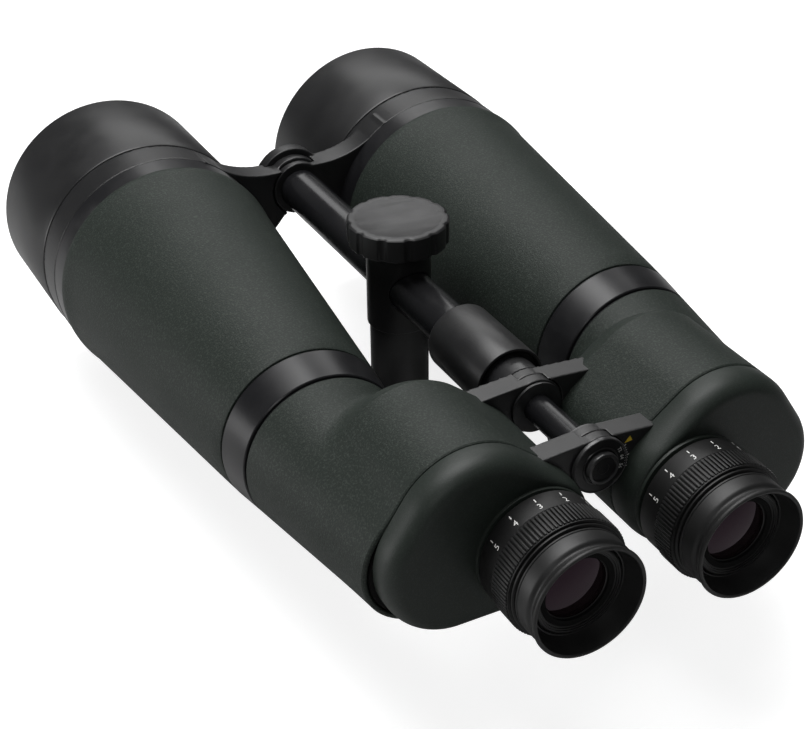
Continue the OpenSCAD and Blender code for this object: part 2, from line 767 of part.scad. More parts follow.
hood(left);  // hood_left
hood(right);  // hood_right
yoke(left);  // yoke_left
yoke(right);  // yoke_right
objective_cell(left);  // objective_cell_left
objective_cell(right);  // objective_cell_right
objective_retainer(left);  // objective_retainer_left
objective_retainer(right);  // objective_retainer_right
crown_lens(left);  // crown_lens_left
crown_lens(right);  // crown_lens_right
flint_lens(left);  // flint_lens_left
flint_lens(right);  // flint_lens_right
hinge_arms(left);  // hinge_arms_left
hinge_arms(right);  // hinge_arms_right
barrel_tube(left);  // barrel_tube_left
barrel_tube(right);  // barrel_tube_right
barrel_armour(left);  // barrel_armour_left
barrel_armour(right);  // barrel_armour_right
neck_band(left);  // neck_band_left
neck_band(right);  // neck_band_right
prism_housing(left);  // prism_housing_left
prism_housing(right);  // prism_housing_right
housing_armour(left);  // housing_armour_left
housing_armour(right);  // housing_armour_right
rear_cover(left);  // rear_cover_left
rear_cover(right);  // rear_cover_right
prism_shelf(left);  // prism_shelf_left
prism_shelf(right);  // prism_shelf_right
rear_prism(left);  // rear_prism_left
rear_prism(right);  // rear_prism_right
front_prism(left);  // front_prism_left
front_prism(right);  // front_prism_right
prism_clips(left);  // prism_clips_left
prism_clips(right);  // prism_clips_right
eyepiece_base(left);  // eyepiece_base_left
eyepiece_base(right);  // eyepiece_base_right
ocular_cell(left);  // ocular_cell_left
ocular_cell(right);  // ocular_cell_right
ocular_retainer(left);  // ocular_retainer_left
ocular_retainer(right);  // ocular_retainer_right
eye_lens(left);  // eye_lens_left
eye_lens(right);  // eye_lens_right
field_lens(left);  // field_lens_left
field_lens(right);  // field_lens_right
focus_ring(left);  // focus_ring_left
focus_ring(right);  // focus_ring_right
eyecup(left);  // eyecup_left
eyecup(right);  // eyecup_right
post_head();
post_column();
thread_insert();
clamp_pad();
clamp_screw();
clamp_knob();
hinge_bar();
bar_sleeve();
hinge_washers();
front_cap();
rear_cap();
scale_disc();
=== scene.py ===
"""Astronomy binoculars: the finished look of every piece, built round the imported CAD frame.

Each sub-assembly is a class that holds its sizes in metres and builds, dresses and mounts its own pieces.
Places come from the boxes of the CAD nodes, so nothing has to be fitted by eye.
"""

import logging
import math
from dataclasses import dataclass
from enum import Enum
from functools import cache
from typing import Callable, Sequence

import bpy
from mathutils import Matrix, Vector


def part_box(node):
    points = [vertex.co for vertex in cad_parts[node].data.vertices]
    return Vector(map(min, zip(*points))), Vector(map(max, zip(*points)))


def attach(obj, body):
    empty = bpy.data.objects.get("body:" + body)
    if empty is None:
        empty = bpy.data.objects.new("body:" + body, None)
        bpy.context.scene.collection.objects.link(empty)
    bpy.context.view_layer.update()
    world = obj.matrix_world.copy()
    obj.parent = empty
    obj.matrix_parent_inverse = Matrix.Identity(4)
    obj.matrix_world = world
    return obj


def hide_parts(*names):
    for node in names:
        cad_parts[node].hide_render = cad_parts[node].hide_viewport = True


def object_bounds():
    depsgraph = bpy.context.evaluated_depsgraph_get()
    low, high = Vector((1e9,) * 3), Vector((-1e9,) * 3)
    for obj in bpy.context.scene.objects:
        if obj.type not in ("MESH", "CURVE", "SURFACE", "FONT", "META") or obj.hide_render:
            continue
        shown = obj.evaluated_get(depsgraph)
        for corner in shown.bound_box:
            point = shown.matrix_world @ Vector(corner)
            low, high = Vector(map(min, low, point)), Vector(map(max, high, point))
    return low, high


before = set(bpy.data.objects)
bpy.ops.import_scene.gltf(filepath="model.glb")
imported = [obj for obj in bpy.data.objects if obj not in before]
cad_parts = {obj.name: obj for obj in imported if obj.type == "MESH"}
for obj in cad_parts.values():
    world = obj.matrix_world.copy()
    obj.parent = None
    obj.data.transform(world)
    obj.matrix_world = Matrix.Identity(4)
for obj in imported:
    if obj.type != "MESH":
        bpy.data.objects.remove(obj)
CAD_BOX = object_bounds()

LOG = logging.getLogger("binoculars")
MM = 0.001
Station = tuple[float, float]
Colour = tuple[float, float, float]
Piece = bpy.types.Object


class Side(Enum):
    """Which half of the instrument a piece belongs to; the value is the sign of its X."""

    LEFT = -1
    RIGHT = 1

    def of(self, piece: str) -> str:
        """Name of a piece on this side, CAD nodes included."""
        return f"{piece}_{self.name.lower()}"

    def body(self, part: str) -> str:
        """Name of the body that carries a part of this side."""
        return f"{self.name.lower()}_{part}"


class Axis(Enum):
    """The line that a turned piece is turned about."""

    ALONG = "Y"
    UP = "Z"

    def point(self, centre: Vector, station: float) -> Vector:
        """The point of the axis at a station.

        Args:
            centre: Any point of the axis.
            station: The coordinate along the axis, in metres.

        Returns:
            The point in the row frame.
        """
        if self is Axis.ALONG:
            return Vector((centre.x, station, centre.z))
        return Vector((centre.x, centre.y, station))

    def step(self, length: float) -> tuple[float, float, float]:
        """A move along the axis by a length."""
        return (0.0, length, 0.0) if self is Axis.ALONG else (0.0, 0.0, length)

    def growth(self, factor: float) -> tuple[float, float, float]:
        """A scaling across the axis by a factor."""
        return (factor, 1.0, factor) if self is Axis.ALONG else (factor, factor, 1.0)

    @property
    def turn(self) -> tuple[float, float, float]:
        """The rotation that lays a flat primitive across the axis."""
        return (math.pi / 2, 0.0, 0.0) if self is Axis.ALONG else (0.0, 0.0, 0.0)


# ---------------------------------------------------------------- modelling


class Bench:
    """The modelling operations that the sub-assemblies share."""

    @staticmethod
    def clear() -> None:
        """Deselects everything, so that an operator acts on the new piece only."""
        if bpy.context.object and bpy.context.object.mode != "OBJECT":
            bpy.ops.object.mode_set(mode="OBJECT")
        bpy.ops.object.select_all(action="DESELECT")

    @staticmethod
    def only(piece: Piece) -> None:
        """Makes a piece the only selected one and the active one.

        Args:
            piece: The object that the next operators act on.
        """
        Bench.clear()
        piece.select_set(True)
        bpy.context.view_layer.objects.active = piece

    @staticmethod
    def named(name: str) -> Piece:
        """Names the active object and its mesh.

        Args:
            name: The name of both.

        Returns:
            The active object.
        """
        piece = bpy.context.object
        piece.name = piece.data.name = name
        return piece

    @staticmethod
    def settle(piece: Piece) -> None:
        """Puts a piece's place into its mesh, so that its object sits at the origin."""
        Bench.only(piece)
        bpy.ops.object.transform_apply(location=True, rotation=True, scale=True)

    @staticmethod
    def modify(piece: Piece, kind: str, **settings: object) -> None:
        """Adds a modifier, sets it and applies it.

        Args:
            piece: The object to change.
            kind: The modifier's type, such as BEVEL.
            settings: The modifier's properties.
        """
        Bench.only(piece)
        bpy.ops.object.modifier_add(type=kind)
        modifier = piece.modifiers[-1]
        for name, value in settings.items():
            setattr(modifier, name, value)
        bpy.ops.object.modifier_apply(modifier=modifier.name)

    @staticmethod
    def shade(piece: Piece, crease: float = 32) -> None:
        """Shades a piece smooth, but for its sharp edges.

        Args:
            piece: The object to shade.
            crease: Edges that turn by more than this many degrees stay sharp.
        """
        Bench.only(piece)
        bpy.ops.object.shade_smooth_by_angle(angle=math.radians(crease))

    @staticmethod
    def close(piece: Piece, merge: float = 2e-6, fill: bool = False) -> None:
        """Merges the doubles of a mesh, fills its holes if asked, and points its faces outwards.

        Args:
            piece: The object to clean.
            merge: Points closer than this are one point.
            fill: Whether open rims get a face.
        """
        Bench.only(piece)
        bpy.ops.object.mode_set(mode="EDIT")
        bpy.ops.mesh.select_all(action="SELECT")
        bpy.ops.mesh.remove_doubles(threshold=merge)
        if fill:
            bpy.ops.mesh.select_all(action="SELECT")
            bpy.ops.mesh.fill_holes(sides=0)
        bpy.ops.mesh.select_all(action="SELECT")
        bpy.ops.mesh.normals_make_consistent(inside=False)
        bpy.ops.object.mode_set(mode="OBJECT")

    @staticmethod
    def turned(
        name: str,
        axis: Axis,
        centre: Vector,
        profile: Sequence[Station],
        segments: int = 128,
        ring: bool = True,
        shape: Callable[[float], float] | None = None,
    ) -> Piece:
        """Turns a profile about an axis: a circle is extruded from station to station.

        Args:
            name: The piece's name.
            axis: The direction of the axis.
            centre: Any point of the axis.
            profile: Pairs of station and radius in metres, in order round the section.
            segments: Faces round the axis.
            ring: Whether the profile closes on itself; a solid bar gets end faces instead.
            shape: Gives the share of the radius at an angle in radians, for a scalloped rim.

        Returns:
            The turned object.
        """
        Bench.clear()
        station, radius = profile[0]
        bpy.ops.mesh.primitive_circle_add(
            vertices=segments, radius=radius, location=axis.point(centre, station), rotation=axis.turn
        )
        piece = Bench.named(name)
        for point in piece.data.vertices if shape else ():
            point.co *= shape(math.atan2(point.co.y, point.co.x))
        bpy.ops.object.mode_set(mode="EDIT")
        bpy.ops.mesh.select_all(action="SELECT")
        for stop, size in [*profile[1:], *([profile[0]] if ring else [])]:
            bpy.ops.mesh.extrude_region_move(TRANSFORM_OT_translate={"value": axis.step(stop - station)})
            if abs(size - radius) > 1e-9:
                bpy.ops.transform.resize(
                    value=axis.growth(size / radius), center_override=axis.point(centre, stop)
                )
            station, radius = stop, size
        Bench.close(piece, fill=not ring)
        Bench.settle(piece)
        Bench.shade(piece)
        return piece

    @staticmethod
    def join(name: str, pieces: Sequence[Piece]) -> Piece:
        """Makes several objects one; the first one keeps its place.

        Args:
            name: The joined piece's name.
            pieces: The objects.

        Returns:
            The joined object.
        """
        Bench.only(pieces[0])
        for piece in pieces[1:]:
            piece.select_set(True)
        bpy.ops.object.join()
        return Bench.named(name)

    @staticmethod
    def skin(name: str, rows: int, columns: int, place: Callable[[float, int], Vector]) -> Piece:
        """A free-form skin that closes round on itself: a grid whose points are laid on a formula.

        Args:
            name: The piece's name.
            rows: Points along the piece.
            columns: Faces round the piece.
            place: Gives a point from its share of the way round, and its row.

        Returns:
            The skin, with its first and last columns merged.
        """
        Bench.clear()
        bpy.ops.mesh.primitive_grid_add(x_subdivisions=columns, y_subdivisions=rows - 1, size=1)
        piece = Bench.named(name)
        for point in piece.data.vertices:
            share = (point.co.x + 0.5) % 1.0 if point.co.x < 0.4999 else 0.0
            point.co = place(share, round((point.co.y + 0.5) * (rows - 1)))
        Bench.close(piece)
        return piece

    @staticmethod
    def recast(node: str, name: str, voxel: float, smoothing: int = 4) -> Piece:
        """A cast copy of a CAD node with softly rounded edges.

        Args:
            node: The CAD node to copy.
            name: The new piece's name.
            voxel: Size of the cells it is rebuilt from.
            smoothing: Passes of smoothing.

        Returns:
            The new object; the node itself stays as it is.
        """
        Bench.clear()
        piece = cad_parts[node].copy()
        piece.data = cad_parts[node].data.copy()
        piece.parent = None
        bpy.context.scene.collection.objects.link(piece)
        piece.name = piece.data.name = name
        for key in list(piece.keys()):
            del piece[key]
        piece.data.materials.clear()
        Bench.close(piece)
        Bench.modify(piece, "REMESH", mode="VOXEL", voxel_size=voxel, use_smooth_shade=True)
        Bench.modify(piece, "SMOOTH", factor=0.5, iterations=smoothing)
        Bench.only(piece)
        bpy.ops.object.shade_smooth()
        return piece


def fit(piece: Piece, finish: "Surface", body: str, *replaced: str) -> None:
    """Dresses a new piece, lets it ride on its body and reports it.

    Args:
        piece: The finished object.
        finish: Its finish.
        body: The CAD body it moves with.
        replaced: The CAD nodes it stands for.
    """
    piece.data.materials.clear()
    piece.data.materials.append(finish.material())
    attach(piece, body)
    if replaced:
        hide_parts(*replaced)
    LOG.info("%s: %d faces, on %s", piece.name, len(piece.data.polygons), body)


def dress(node: str, finish: "Surface") -> None:
    """Gives a CAD node that stays visible its finish.

    Args:
        node: The node's name.
        finish: Its finish.
    """
    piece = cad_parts[node]
    for index in range(len(piece.data.materials)):
        piece.data.materials[index] = finish.material()
    LOG.info("%s: dressed as %s", node, finish.name)


def mid(node: str) -> Vector:
    """Middle of a CAD node's box."""
    low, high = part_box(node)
    return (low + high) / 2


def girth(node: str) -> float:
    """Radius of a round CAD node, from its box."""
    low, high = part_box(node)
    return (high.x - low.x) / 2


def ends(node: str) -> Station:
    """Rear and front station of a CAD node."""
    low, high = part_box(node)
    return low.y, high.y


def stations(base: float, radius: float, *moves: Station) -> list[Station]:
    """Part of a profile, drawn in millimetres from a point of the piece.

    Args:
        base: Station of the point, in metres.
        radius: Radius of the point, in metres.
        moves: Each station and radius in millimetres, counted from the point.

    Returns:
        The stations and radii in metres.
    """
    return [(base + along * MM, radius + out * MM) for along, out in moves]


# ---------------------------------------------------------------- finishes


class Wiring:
    """Short words for adding and linking shader nodes."""

    def __init__(self, tree: bpy.types.NodeTree) -> None:
        """Keeps the tree that is wired."""
        self.tree = tree

    def add(self, kind: str, **settings: object) -> bpy.types.Node:
        """Adds a node and sets its properties.

        Args:
            kind: The node's type.
            settings: Its properties.

        Returns:
            The node.
        """
        node = self.tree.nodes.new(kind)
        for name, value in settings.items():
            setattr(node, name, value)
        return node

    def link(self, source: bpy.types.NodeSocket, target: bpy.types.NodeSocket) -> None:
        """Links two sockets."""
        self.tree.links.new(source, target)

    def maths(self, operation: str, first: object, second: object) -> bpy.types.NodeSocket:
        """A Math node of two values.

        Args:
            operation: The node's operation.
            first: A number or a socket.
            second: A number or a socket.

        Returns:
            The result's socket.
        """
        node = self.add("ShaderNodeMath", operation=operation)
        for index, value in enumerate((first, second)):
            if isinstance(value, bpy.types.NodeSocket):
                self.link(value, node.inputs[index])
            else:
                node.inputs[index].default_value = value
        return node.outputs[0]

    def ramped(self, value: bpy.types.NodeSocket, low: float, high: float) -> bpy.types.NodeSocket:
        """Stretches the part of a value between low and high to the range 0 to 1.

        Args:
            value: The socket to stretch.
            low: What becomes 0.
            high: What becomes 1.

        Returns:
            The result's socket.
        """
        node = self.add("ShaderNodeMapRange", interpolation_type="SMOOTHSTEP")
        self.link(value, node.inputs["Value"])
        node.inputs["From Min"].default_value = low
        node.inputs["From Max"].default_value = high
        return node.outputs["Result"]

    def mixed(self, share: bpy.types.NodeSocket, first: object, second: object) -> bpy.types.NodeSocket:
        """Mixes two colours by a mask.

        Args:
            share: The mask.
            first: A colour or a socket, where the mask is 0.
            second: A colour or a socket, where the mask is 1.

        Returns:
            The mixed colour's socket.
        """
        node = self.add("ShaderNodeMix", data_type="RGBA")
        self.link(share, node.inputs["Factor"])
        for socket, value in ((node.inputs[6], first), (node.inputs[7], second)):
            if isinstance(value, bpy.types.NodeSocket):
                self.link(value, socket)
            else:
                socket.default_value = (*value, 1.0)
        return node.outputs[2]

    def noise(self, scale: float, detail: float = 2.0) -> bpy.types.NodeSocket:
        """A cloud on the piece's own coordinates.

        Args:
            scale: Clouds in a metre.
            detail: Layers of finer clouds.

        Returns:
            The cloud's socket.
        """
        clouds = self.add("ShaderNodeTexNoise")
        clouds.inputs["Scale"].default_value = scale
        clouds.inputs["Detail"].default_value = detail
        self.link(self.add("ShaderNodeTexCoord").outputs["Object"], clouds.inputs["Vector"])
        return clouds.outputs["Fac"]

    def bump(self, height: bpy.types.NodeSocket, depth: float, shader: bpy.types.Node) -> None:
        """Raises a surface by a mask.

        Args:
            height: The mask.
            depth: How high it raises the surface, in millimetres.
            shader: The shader whose surface it is.
        """
        node = self.add("ShaderNodeBump")
        node.inputs["Distance"].default_value = depth * MM
        self.link(height, node.inputs["Height"])
        self.link(node.outputs["Normal"], shader.inputs["Normal"])

    def group(self, tree: bpy.types.NodeTree, **values: float) -> bpy.types.Node:
        """Places a node group with its own values.

        Args:
            tree: The group.
            values: Numbers for its inputs, by name.

        Returns:
            The group node.
        """
        node = self.add("ShaderNodeGroup", node_tree=tree)
        for name, value in values.items():
            node.inputs[name].default_value = value
        return node


class Effects:
    """The shader node groups that several finishes use, each built once."""

    @staticmethod
    def blank(
        name: str, inputs: dict[str, float], *outputs: str
    ) -> tuple[Wiring, bpy.types.Node, bpy.types.Node]:
        """An empty group with its sockets.

        Args:
            name: The group's name.
            inputs: Names of the number inputs, with their first values.
            outputs: Names of the number outputs.

        Returns:
            The group's wiring, and its input and output nodes.
        """
        tree = bpy.data.node_groups.new(name, "ShaderNodeTree")
        for socket, value in inputs.items():
            tree.interface.new_socket(
                name=socket, in_out="INPUT", socket_type="NodeSocketFloat"
            ).default_value = value
        for socket in outputs:
            tree.interface.new_socket(name=socket, in_out="OUTPUT", socket_type="NodeSocketFloat")
        wire = Wiring(tree)
        return wire, wire.add("NodeGroupInput"), wire.add("NodeGroupOutput")

    @staticmethod
    @cache
    def grain() -> bpy.types.NodeTree:
        """Moulded or sprayed grain: a height for the bump and a speckle mask for the colour."""
        sizes = {"Pitch": 1.0, "Softness": 0.5}
        wire, source, sink = Effects.blank("moulded_grain", sizes, "Height", "Speckle")
        where = wire.add("ShaderNodeTexCoord")
        cells = wire.add("ShaderNodeTexVoronoi", feature="SMOOTH_F1")
        clouds = wire.add("ShaderNodeTexNoise")
        clouds.inputs["Detail"].default_value = 3.0
        scale = wire.maths("DIVIDE", 1 / MM, source.outputs["Pitch"])
        wire.link(where.outputs["Object"], cells.inputs["Vector"])
        wire.link(where.outputs["Object"], clouds.inputs["Vector"])
        wire.link(scale, cells.inputs["Scale"])
        wire.link(source.outputs["Softness"], cells.inputs["Smoothness"])
        wire.link(wire.maths("MULTIPLY", scale, 0.62), clouds.inputs["Scale"])
        dome = wire.maths("SUBTRACT", 1.0, cells.outputs["Distance"])
        domes, waves = wire.maths("MULTIPLY", dome, 0.6), wire.maths("MULTIPLY", clouds.outputs["Fac"], 0.8)
        wire.link(wire.maths("ADD", domes, waves), sink.inputs["Height"])
        fleck = wire.ramped(clouds.outputs["Fac"], 0.46, 0.68)
        wire.link(wire.maths("MULTIPLY", fleck, dome), sink.inputs["Speckle"])
        return wire.tree

    @staticmethod
    @cache
    def wear() -> bpy.types.NodeTree:
        """A mask of the handled edges, broken up by a slow cloud, and a mask of the dust on top faces; on the
        arm and disc finishes the edge mask carries a painted highlight as well as wear.
        """
        wire, source, sink = Effects.blank(
            "edge_wear_and_dust", {"Wear": 0.3, "Dust": 0.1}, "Edges", "Dust", "Cloud"
        )
        shape = wire.add("ShaderNodeNewGeometry")
        clouds = wire.noise(38.0, 5.0)
        edge = wire.ramped(shape.outputs["Pointiness"], 0.515, 0.62)
        rub = wire.ramped(clouds, 0.35, 0.7)
        split = wire.add("ShaderNodeSeparateXYZ")
        wire.link(shape.outputs["Normal"], split.inputs["Vector"])
        up = wire.ramped(split.outputs["Z"], 0.55, 1.0)
        for mask, amount, result in ((edge, "Wear", "Edges"), (up, "Dust", "Dust")):
            broken = wire.maths("MULTIPLY", mask, rub)
            wire.link(wire.maths("MULTIPLY", broken, source.outputs[amount]), sink.inputs[result])
        wire.link(clouds, sink.inputs["Cloud"])
        return wire.tree

    @staticmethod
    @cache
    def turning() -> bpy.types.NodeTree:
        """Fine tool marks of a lathe, in circles round the upright line through the frame's origin."""
        wire, source, sink = Effects.blank("lathe_marks", {"Pitch": 0.4}, "Marks")
        where = wire.add("ShaderNodeTexCoord")
        split = wire.add("ShaderNodeSeparateXYZ")
        wire.link(where.outputs["Object"], split.inputs["Vector"])
        squares = [wire.maths("MULTIPLY", split.outputs[way], split.outputs[way]) for way in "XY"]
        reach = wire.maths("SQRT", wire.maths("ADD", *squares), 0.0)
        marks = wire.add("ShaderNodeTexNoise", noise_dimensions="1D")
        marks.inputs["Detail"].default_value = 4.0
        pitch = wire.maths("MULTIPLY", source.outputs["Pitch"], MM)
        wire.link(wire.maths("DIVIDE", reach, pitch), marks.inputs["W"])
        wire.link(marks.outputs["Fac"], sink.inputs["Marks"])
        return wire.tree


def grey(tone: float) -> Colour:
    """A neutral colour."""
    return (tone, tone, tone)


@dataclass(frozen=True)
class Surface:
    """What every finish has: its own name, and the record's slot, which is empty for a painted mark."""

    name: str
    slot: str

    def material(self) -> bpy.types.Material:
        """The finish's material, made at its first use."""
        made = bpy.data.materials.get(self.name)
        if made is None:
            made = bpy.data.materials.new(self.name)
            made.use_nodes = True
            self.wire_up(Wiring(made.node_tree), made.node_tree.nodes["Principled BSDF"])
        return made

    def wire_up(self, wire: Wiring, shader: bpy.types.Node) -> None:
        """Wires the finish's nodes into its shader; each kind of finish has its own way.

        Args:
            wire: The wiring of the material's tree.
            shader: The Principled shader in it.
        """
        raise NotImplementedError


@dataclass(frozen=True)
class Finish(Surface):
    """A paint, plastic or rubber surface.

    The colour is the surface's own, fleck is the colour of its light specks and worn is the colour of handled
    edges, which on the arm and disc finishes is a painted highlight as well as wear. Grain pitch and depth
    are in millimetres.
    """

    colour: Colour
    fleck: Colour
    worn: Colour
    roughness: float
    grain_pitch: float = 0.3
    grain_softness: float = 0.6
    grain_depth: float = 0.012
    speckle: float = 0.3
    wear: float = 0.4
    dust: float = 0.0
    specular: float = 0.5
    cloud: float = 0.14

    def wire_up(self, wire: Wiring, shader: bpy.types.Node) -> None:
        """Wires grain, specks, edge colour and dust into the shader; on the arm and disc finishes the bright
        edges are painted highlight as well as wear.

        Args:
            wire: The wiring of the material's tree.
            shader: The Principled shader in it.
        """
        grain = wire.group(Effects.grain(), Pitch=self.grain_pitch, Softness=self.grain_softness)
        wear = wire.group(Effects.wear(), Wear=self.wear, Dust=self.dust)
        specks = wire.maths("MULTIPLY", grain.outputs["Speckle"], self.speckle)
        speckled = wire.mixed(specks, self.colour, self.fleck)
        # Edge colour: rubbed edges, and on the arm and disc finishes also a painted highlight along the
        # edges.
        edged = wire.mixed(wear.outputs["Edges"], speckled, self.worn)
        wire.link(wire.mixed(wear.outputs["Dust"], edged, (0.32, 0.32, 0.31)), shader.inputs["Base Color"])
        uneven = wire.maths("MULTIPLY", wire.maths("SUBTRACT", wear.outputs["Cloud"], 0.5), self.cloud)
        dulled = wire.maths("MULTIPLY", wear.outputs["Dust"], 0.3)
        rough = wire.maths("ADD", wire.maths("ADD", uneven, self.roughness), dulled)
        wire.link(rough, shader.inputs["Roughness"])
        wire.bump(grain.outputs["Height"], self.grain_depth, shader)
        shader.inputs["Specular IOR Level"].default_value = self.specular


@dataclass(frozen=True)
class TurnedMetal(Surface):
    """A machined metal face with the rings of its cutting tool, a pitch in millimetres apart."""

    colour: Colour
    groove: Colour
    roughness: float
    pitch: float = 0.35
    metallic: float = 1.0
    rub: float = 2.2

    def wire_up(self, wire: Wiring, shader: bpy.types.Node) -> None:
        """Wires tool marks, bright edges and dust into the shader.

        Args:
            wire: The wiring of the material's tree.
            shader: The Principled shader in it.
        """
        marks = wire.group(Effects.turning(), Pitch=self.pitch).outputs["Marks"]
        wear = wire.group(Effects.wear(), Wear=0.8, Dust=0.1)
        ringed = wire.mixed(wire.ramped(marks, 0.3, 0.7), self.groove, self.colour)
        edged = wire.mixed(wear.outputs["Edges"], ringed, tuple(min(1.0, self.rub * c) for c in self.colour))
        wire.link(wire.mixed(wear.outputs["Dust"], edged, grey(0.3)), shader.inputs["Base Color"])
        rough = wire.maths("ADD", wire.maths("MULTIPLY", marks, 0.16), self.roughness - 0.08)
        wire.link(rough, shader.inputs["Roughness"])
        wire.bump(marks, 0.01, shader)
        shader.inputs["Metallic"].default_value = self.metallic


@dataclass(frozen=True)
class Glass(Surface):
    """Optical glass with a coating that tints its reflections."""

    body: Colour
    coating: Colour
    clear: float = 1.0
    index: float = 1.52

    def wire_up(self, wire: Wiring, shader: bpy.types.Node) -> None:
        """Wires the tint, a faint haze and the coating into the shader.

        Args:
            wire: The wiring of the material's tree.
            shader: The Principled shader in it.
        """
        clouds = wire.noise(25.0)
        deeper = tuple(0.8 * c for c in self.body)
        # On the opaque eye lens this body colour is painted shade: the dark inside of the eyepiece put on the
        # glass.
        wire.link(wire.mixed(clouds, self.body, deeper), shader.inputs["Base Color"])
        wire.link(wire.maths("MULTIPLY", wire.ramped(clouds, 0.5, 0.9), 0.04), shader.inputs["Roughness"])
        shader.inputs["Transmission Weight"].default_value = self.clear
        shader.inputs["IOR"].default_value = self.index
        shader.inputs["Specular Tint"].default_value = (*self.coating, 1.0)


class Palette:
    """Every finish of the instrument."""

    armour = Finish(
        "armour_rubber", "green_armour", (0.0155, 0.0205, 0.0170), (0.066, 0.078, 0.068), (0.04, 0.045, 0.04),
        roughness=0.55, grain_pitch=0.48, grain_depth=0.10, speckle=0.6, wear=0.25, specular=0.22,
    )
    cover = Finish(
        "cover_rubber", "cover_paint", (0.0160, 0.0212, 0.0174), (0.045, 0.053, 0.047), (0.04, 0.045, 0.04),
        roughness=0.46, grain_softness=0.8, grain_depth=0.045, speckle=0.5, wear=0.25, specular=0.3,
    )
    satin = Finish(
        "satin_black", "satin_black_paint", (0.010, 0.010, 0.0105), (0.030, 0.030, 0.031), grey(0.10),
        roughness=0.38, grain_pitch=0.5, grain_depth=0.022, wear=0.35, dust=0.03, specular=0.43,
    )
    anodised = Finish(
        "black_anodising", "anodised_black", (0.010, 0.010, 0.011), (0.03, 0.03, 0.032), grey(0.15),
        roughness=0.33, dust=0.03,
    )
    gloss = Finish(
        "gloss_black", "gloss_black_band", (0.008, 0.008, 0.009), (0.02, 0.02, 0.022), grey(0.1),
        roughness=0.30, grain_pitch=0.8, grain_depth=0.008, speckle=0.2, wear=0.3, cloud=0.05, specular=0.34,
    )
    rubber = Finish(
        "cup_rubber", "black_rubber", grey(0.009), grey(0.025), grey(0.035),
        roughness=0.46, wear=0.3, dust=0.05, specular=0.4,
    )
    grip = Finish(
        "ribbed_grip", "grip_rubber", grey(0.0055), grey(0.02), grey(0.05),
        roughness=0.46, wear=0.5, dust=0.02, specular=0.3,
    )
    white_mark = Finish(
        "white_marking", "", (0.72, 0.72, 0.70), grey(0.8), grey(0.6),
        roughness=0.5, grain_pitch=0.2, grain_depth=0.004, speckle=0.4, wear=0.1,
    )
    yellow_mark = Finish(
        "yellow_marking", "", (0.72, 0.50, 0.03), (0.8, 0.6, 0.1), (0.6, 0.45, 0.1),
        roughness=0.5, grain_pitch=0.2, grain_depth=0.004, speckle=0.4, wear=0.1,
    )
    flock = Finish(
        "dead_black_inside", "anodised_black", grey(0.006), grey(0.012), grey(0.02),
        roughness=0.85, grain_depth=0.03, wear=0.0, specular=0.15,
    )
    # The light grey edges of the arms are painted highlight as well as wear: the bright lines that light
    # draws along the bevels of the arms and knuckles.
    arm = Finish(
        "arm_satin", "satin_black_paint", (0.012, 0.012, 0.0125), (0.03, 0.03, 0.031), grey(0.35),
        roughness=0.40, grain_pitch=0.35, wear=0.8, dust=0.05,
    )
    bar = Finish(
        "bar_polish", "gloss_black_band", (0.008, 0.008, 0.009), (0.02, 0.02, 0.021), grey(0.1),
        roughness=0.24, grain_pitch=0.6, grain_depth=0.006, speckle=0.2, wear=0.3, dust=0.02, cloud=0.08,
        specular=0.38,
    )
    # The light grey edges of the disc are painted highlight as well as wear: the bright rims that light draws
    # round the fold-scale disc and the axle cap.
    disc = Finish(
        "disc_anodising", "anodised_black", (0.008, 0.008, 0.0085), (0.025, 0.025, 0.026), grey(0.5),
        roughness=0.32, grain_depth=0.008, wear=0.9, dust=0.02,
    )
    lens_ring = Finish(
        "lens_ring_black", "anodised_black", grey(0.005), grey(0.010), grey(0.03),
        roughness=0.4, grain_pitch=0.25, grain_depth=0.006, speckle=0.2, specular=0.35,
    )
    steel = TurnedMetal("turned_steel", "spring_steel", (0.42, 0.42, 0.43), (0.30, 0.30, 0.31), 0.34)
    brass = TurnedMetal("turned_brass", "brass", (0.55, 0.40, 0.16), (0.42, 0.30, 0.11), 0.34)
    knob = TurnedMetal(
        "satin_knob", "knob_anodised", (0.011, 0.011, 0.0115), (0.0095, 0.0095, 0.010), 0.42,
        pitch=0.25, metallic=0.0,
    )
    lens = Glass("objective_glass", "coated_glass", (0.80, 0.86, 0.84), (0.45, 0.85, 0.60))
    # The eye lens is drawn opaque: its dark brownish body colour is painted shade, the dark inside of the
    # eyepiece put on the glass.
    eye_lens = Glass("eye_glass", "coated_glass", (0.010, 0.006, 0.007), (0.50, 0.28, 0.42), clear=0.0)
    prism = Glass("crown_glass", "prism_glass", (0.82, 0.88, 0.90), grey(0.9))


# ---------------------------------------------------------------- sub-assemblies


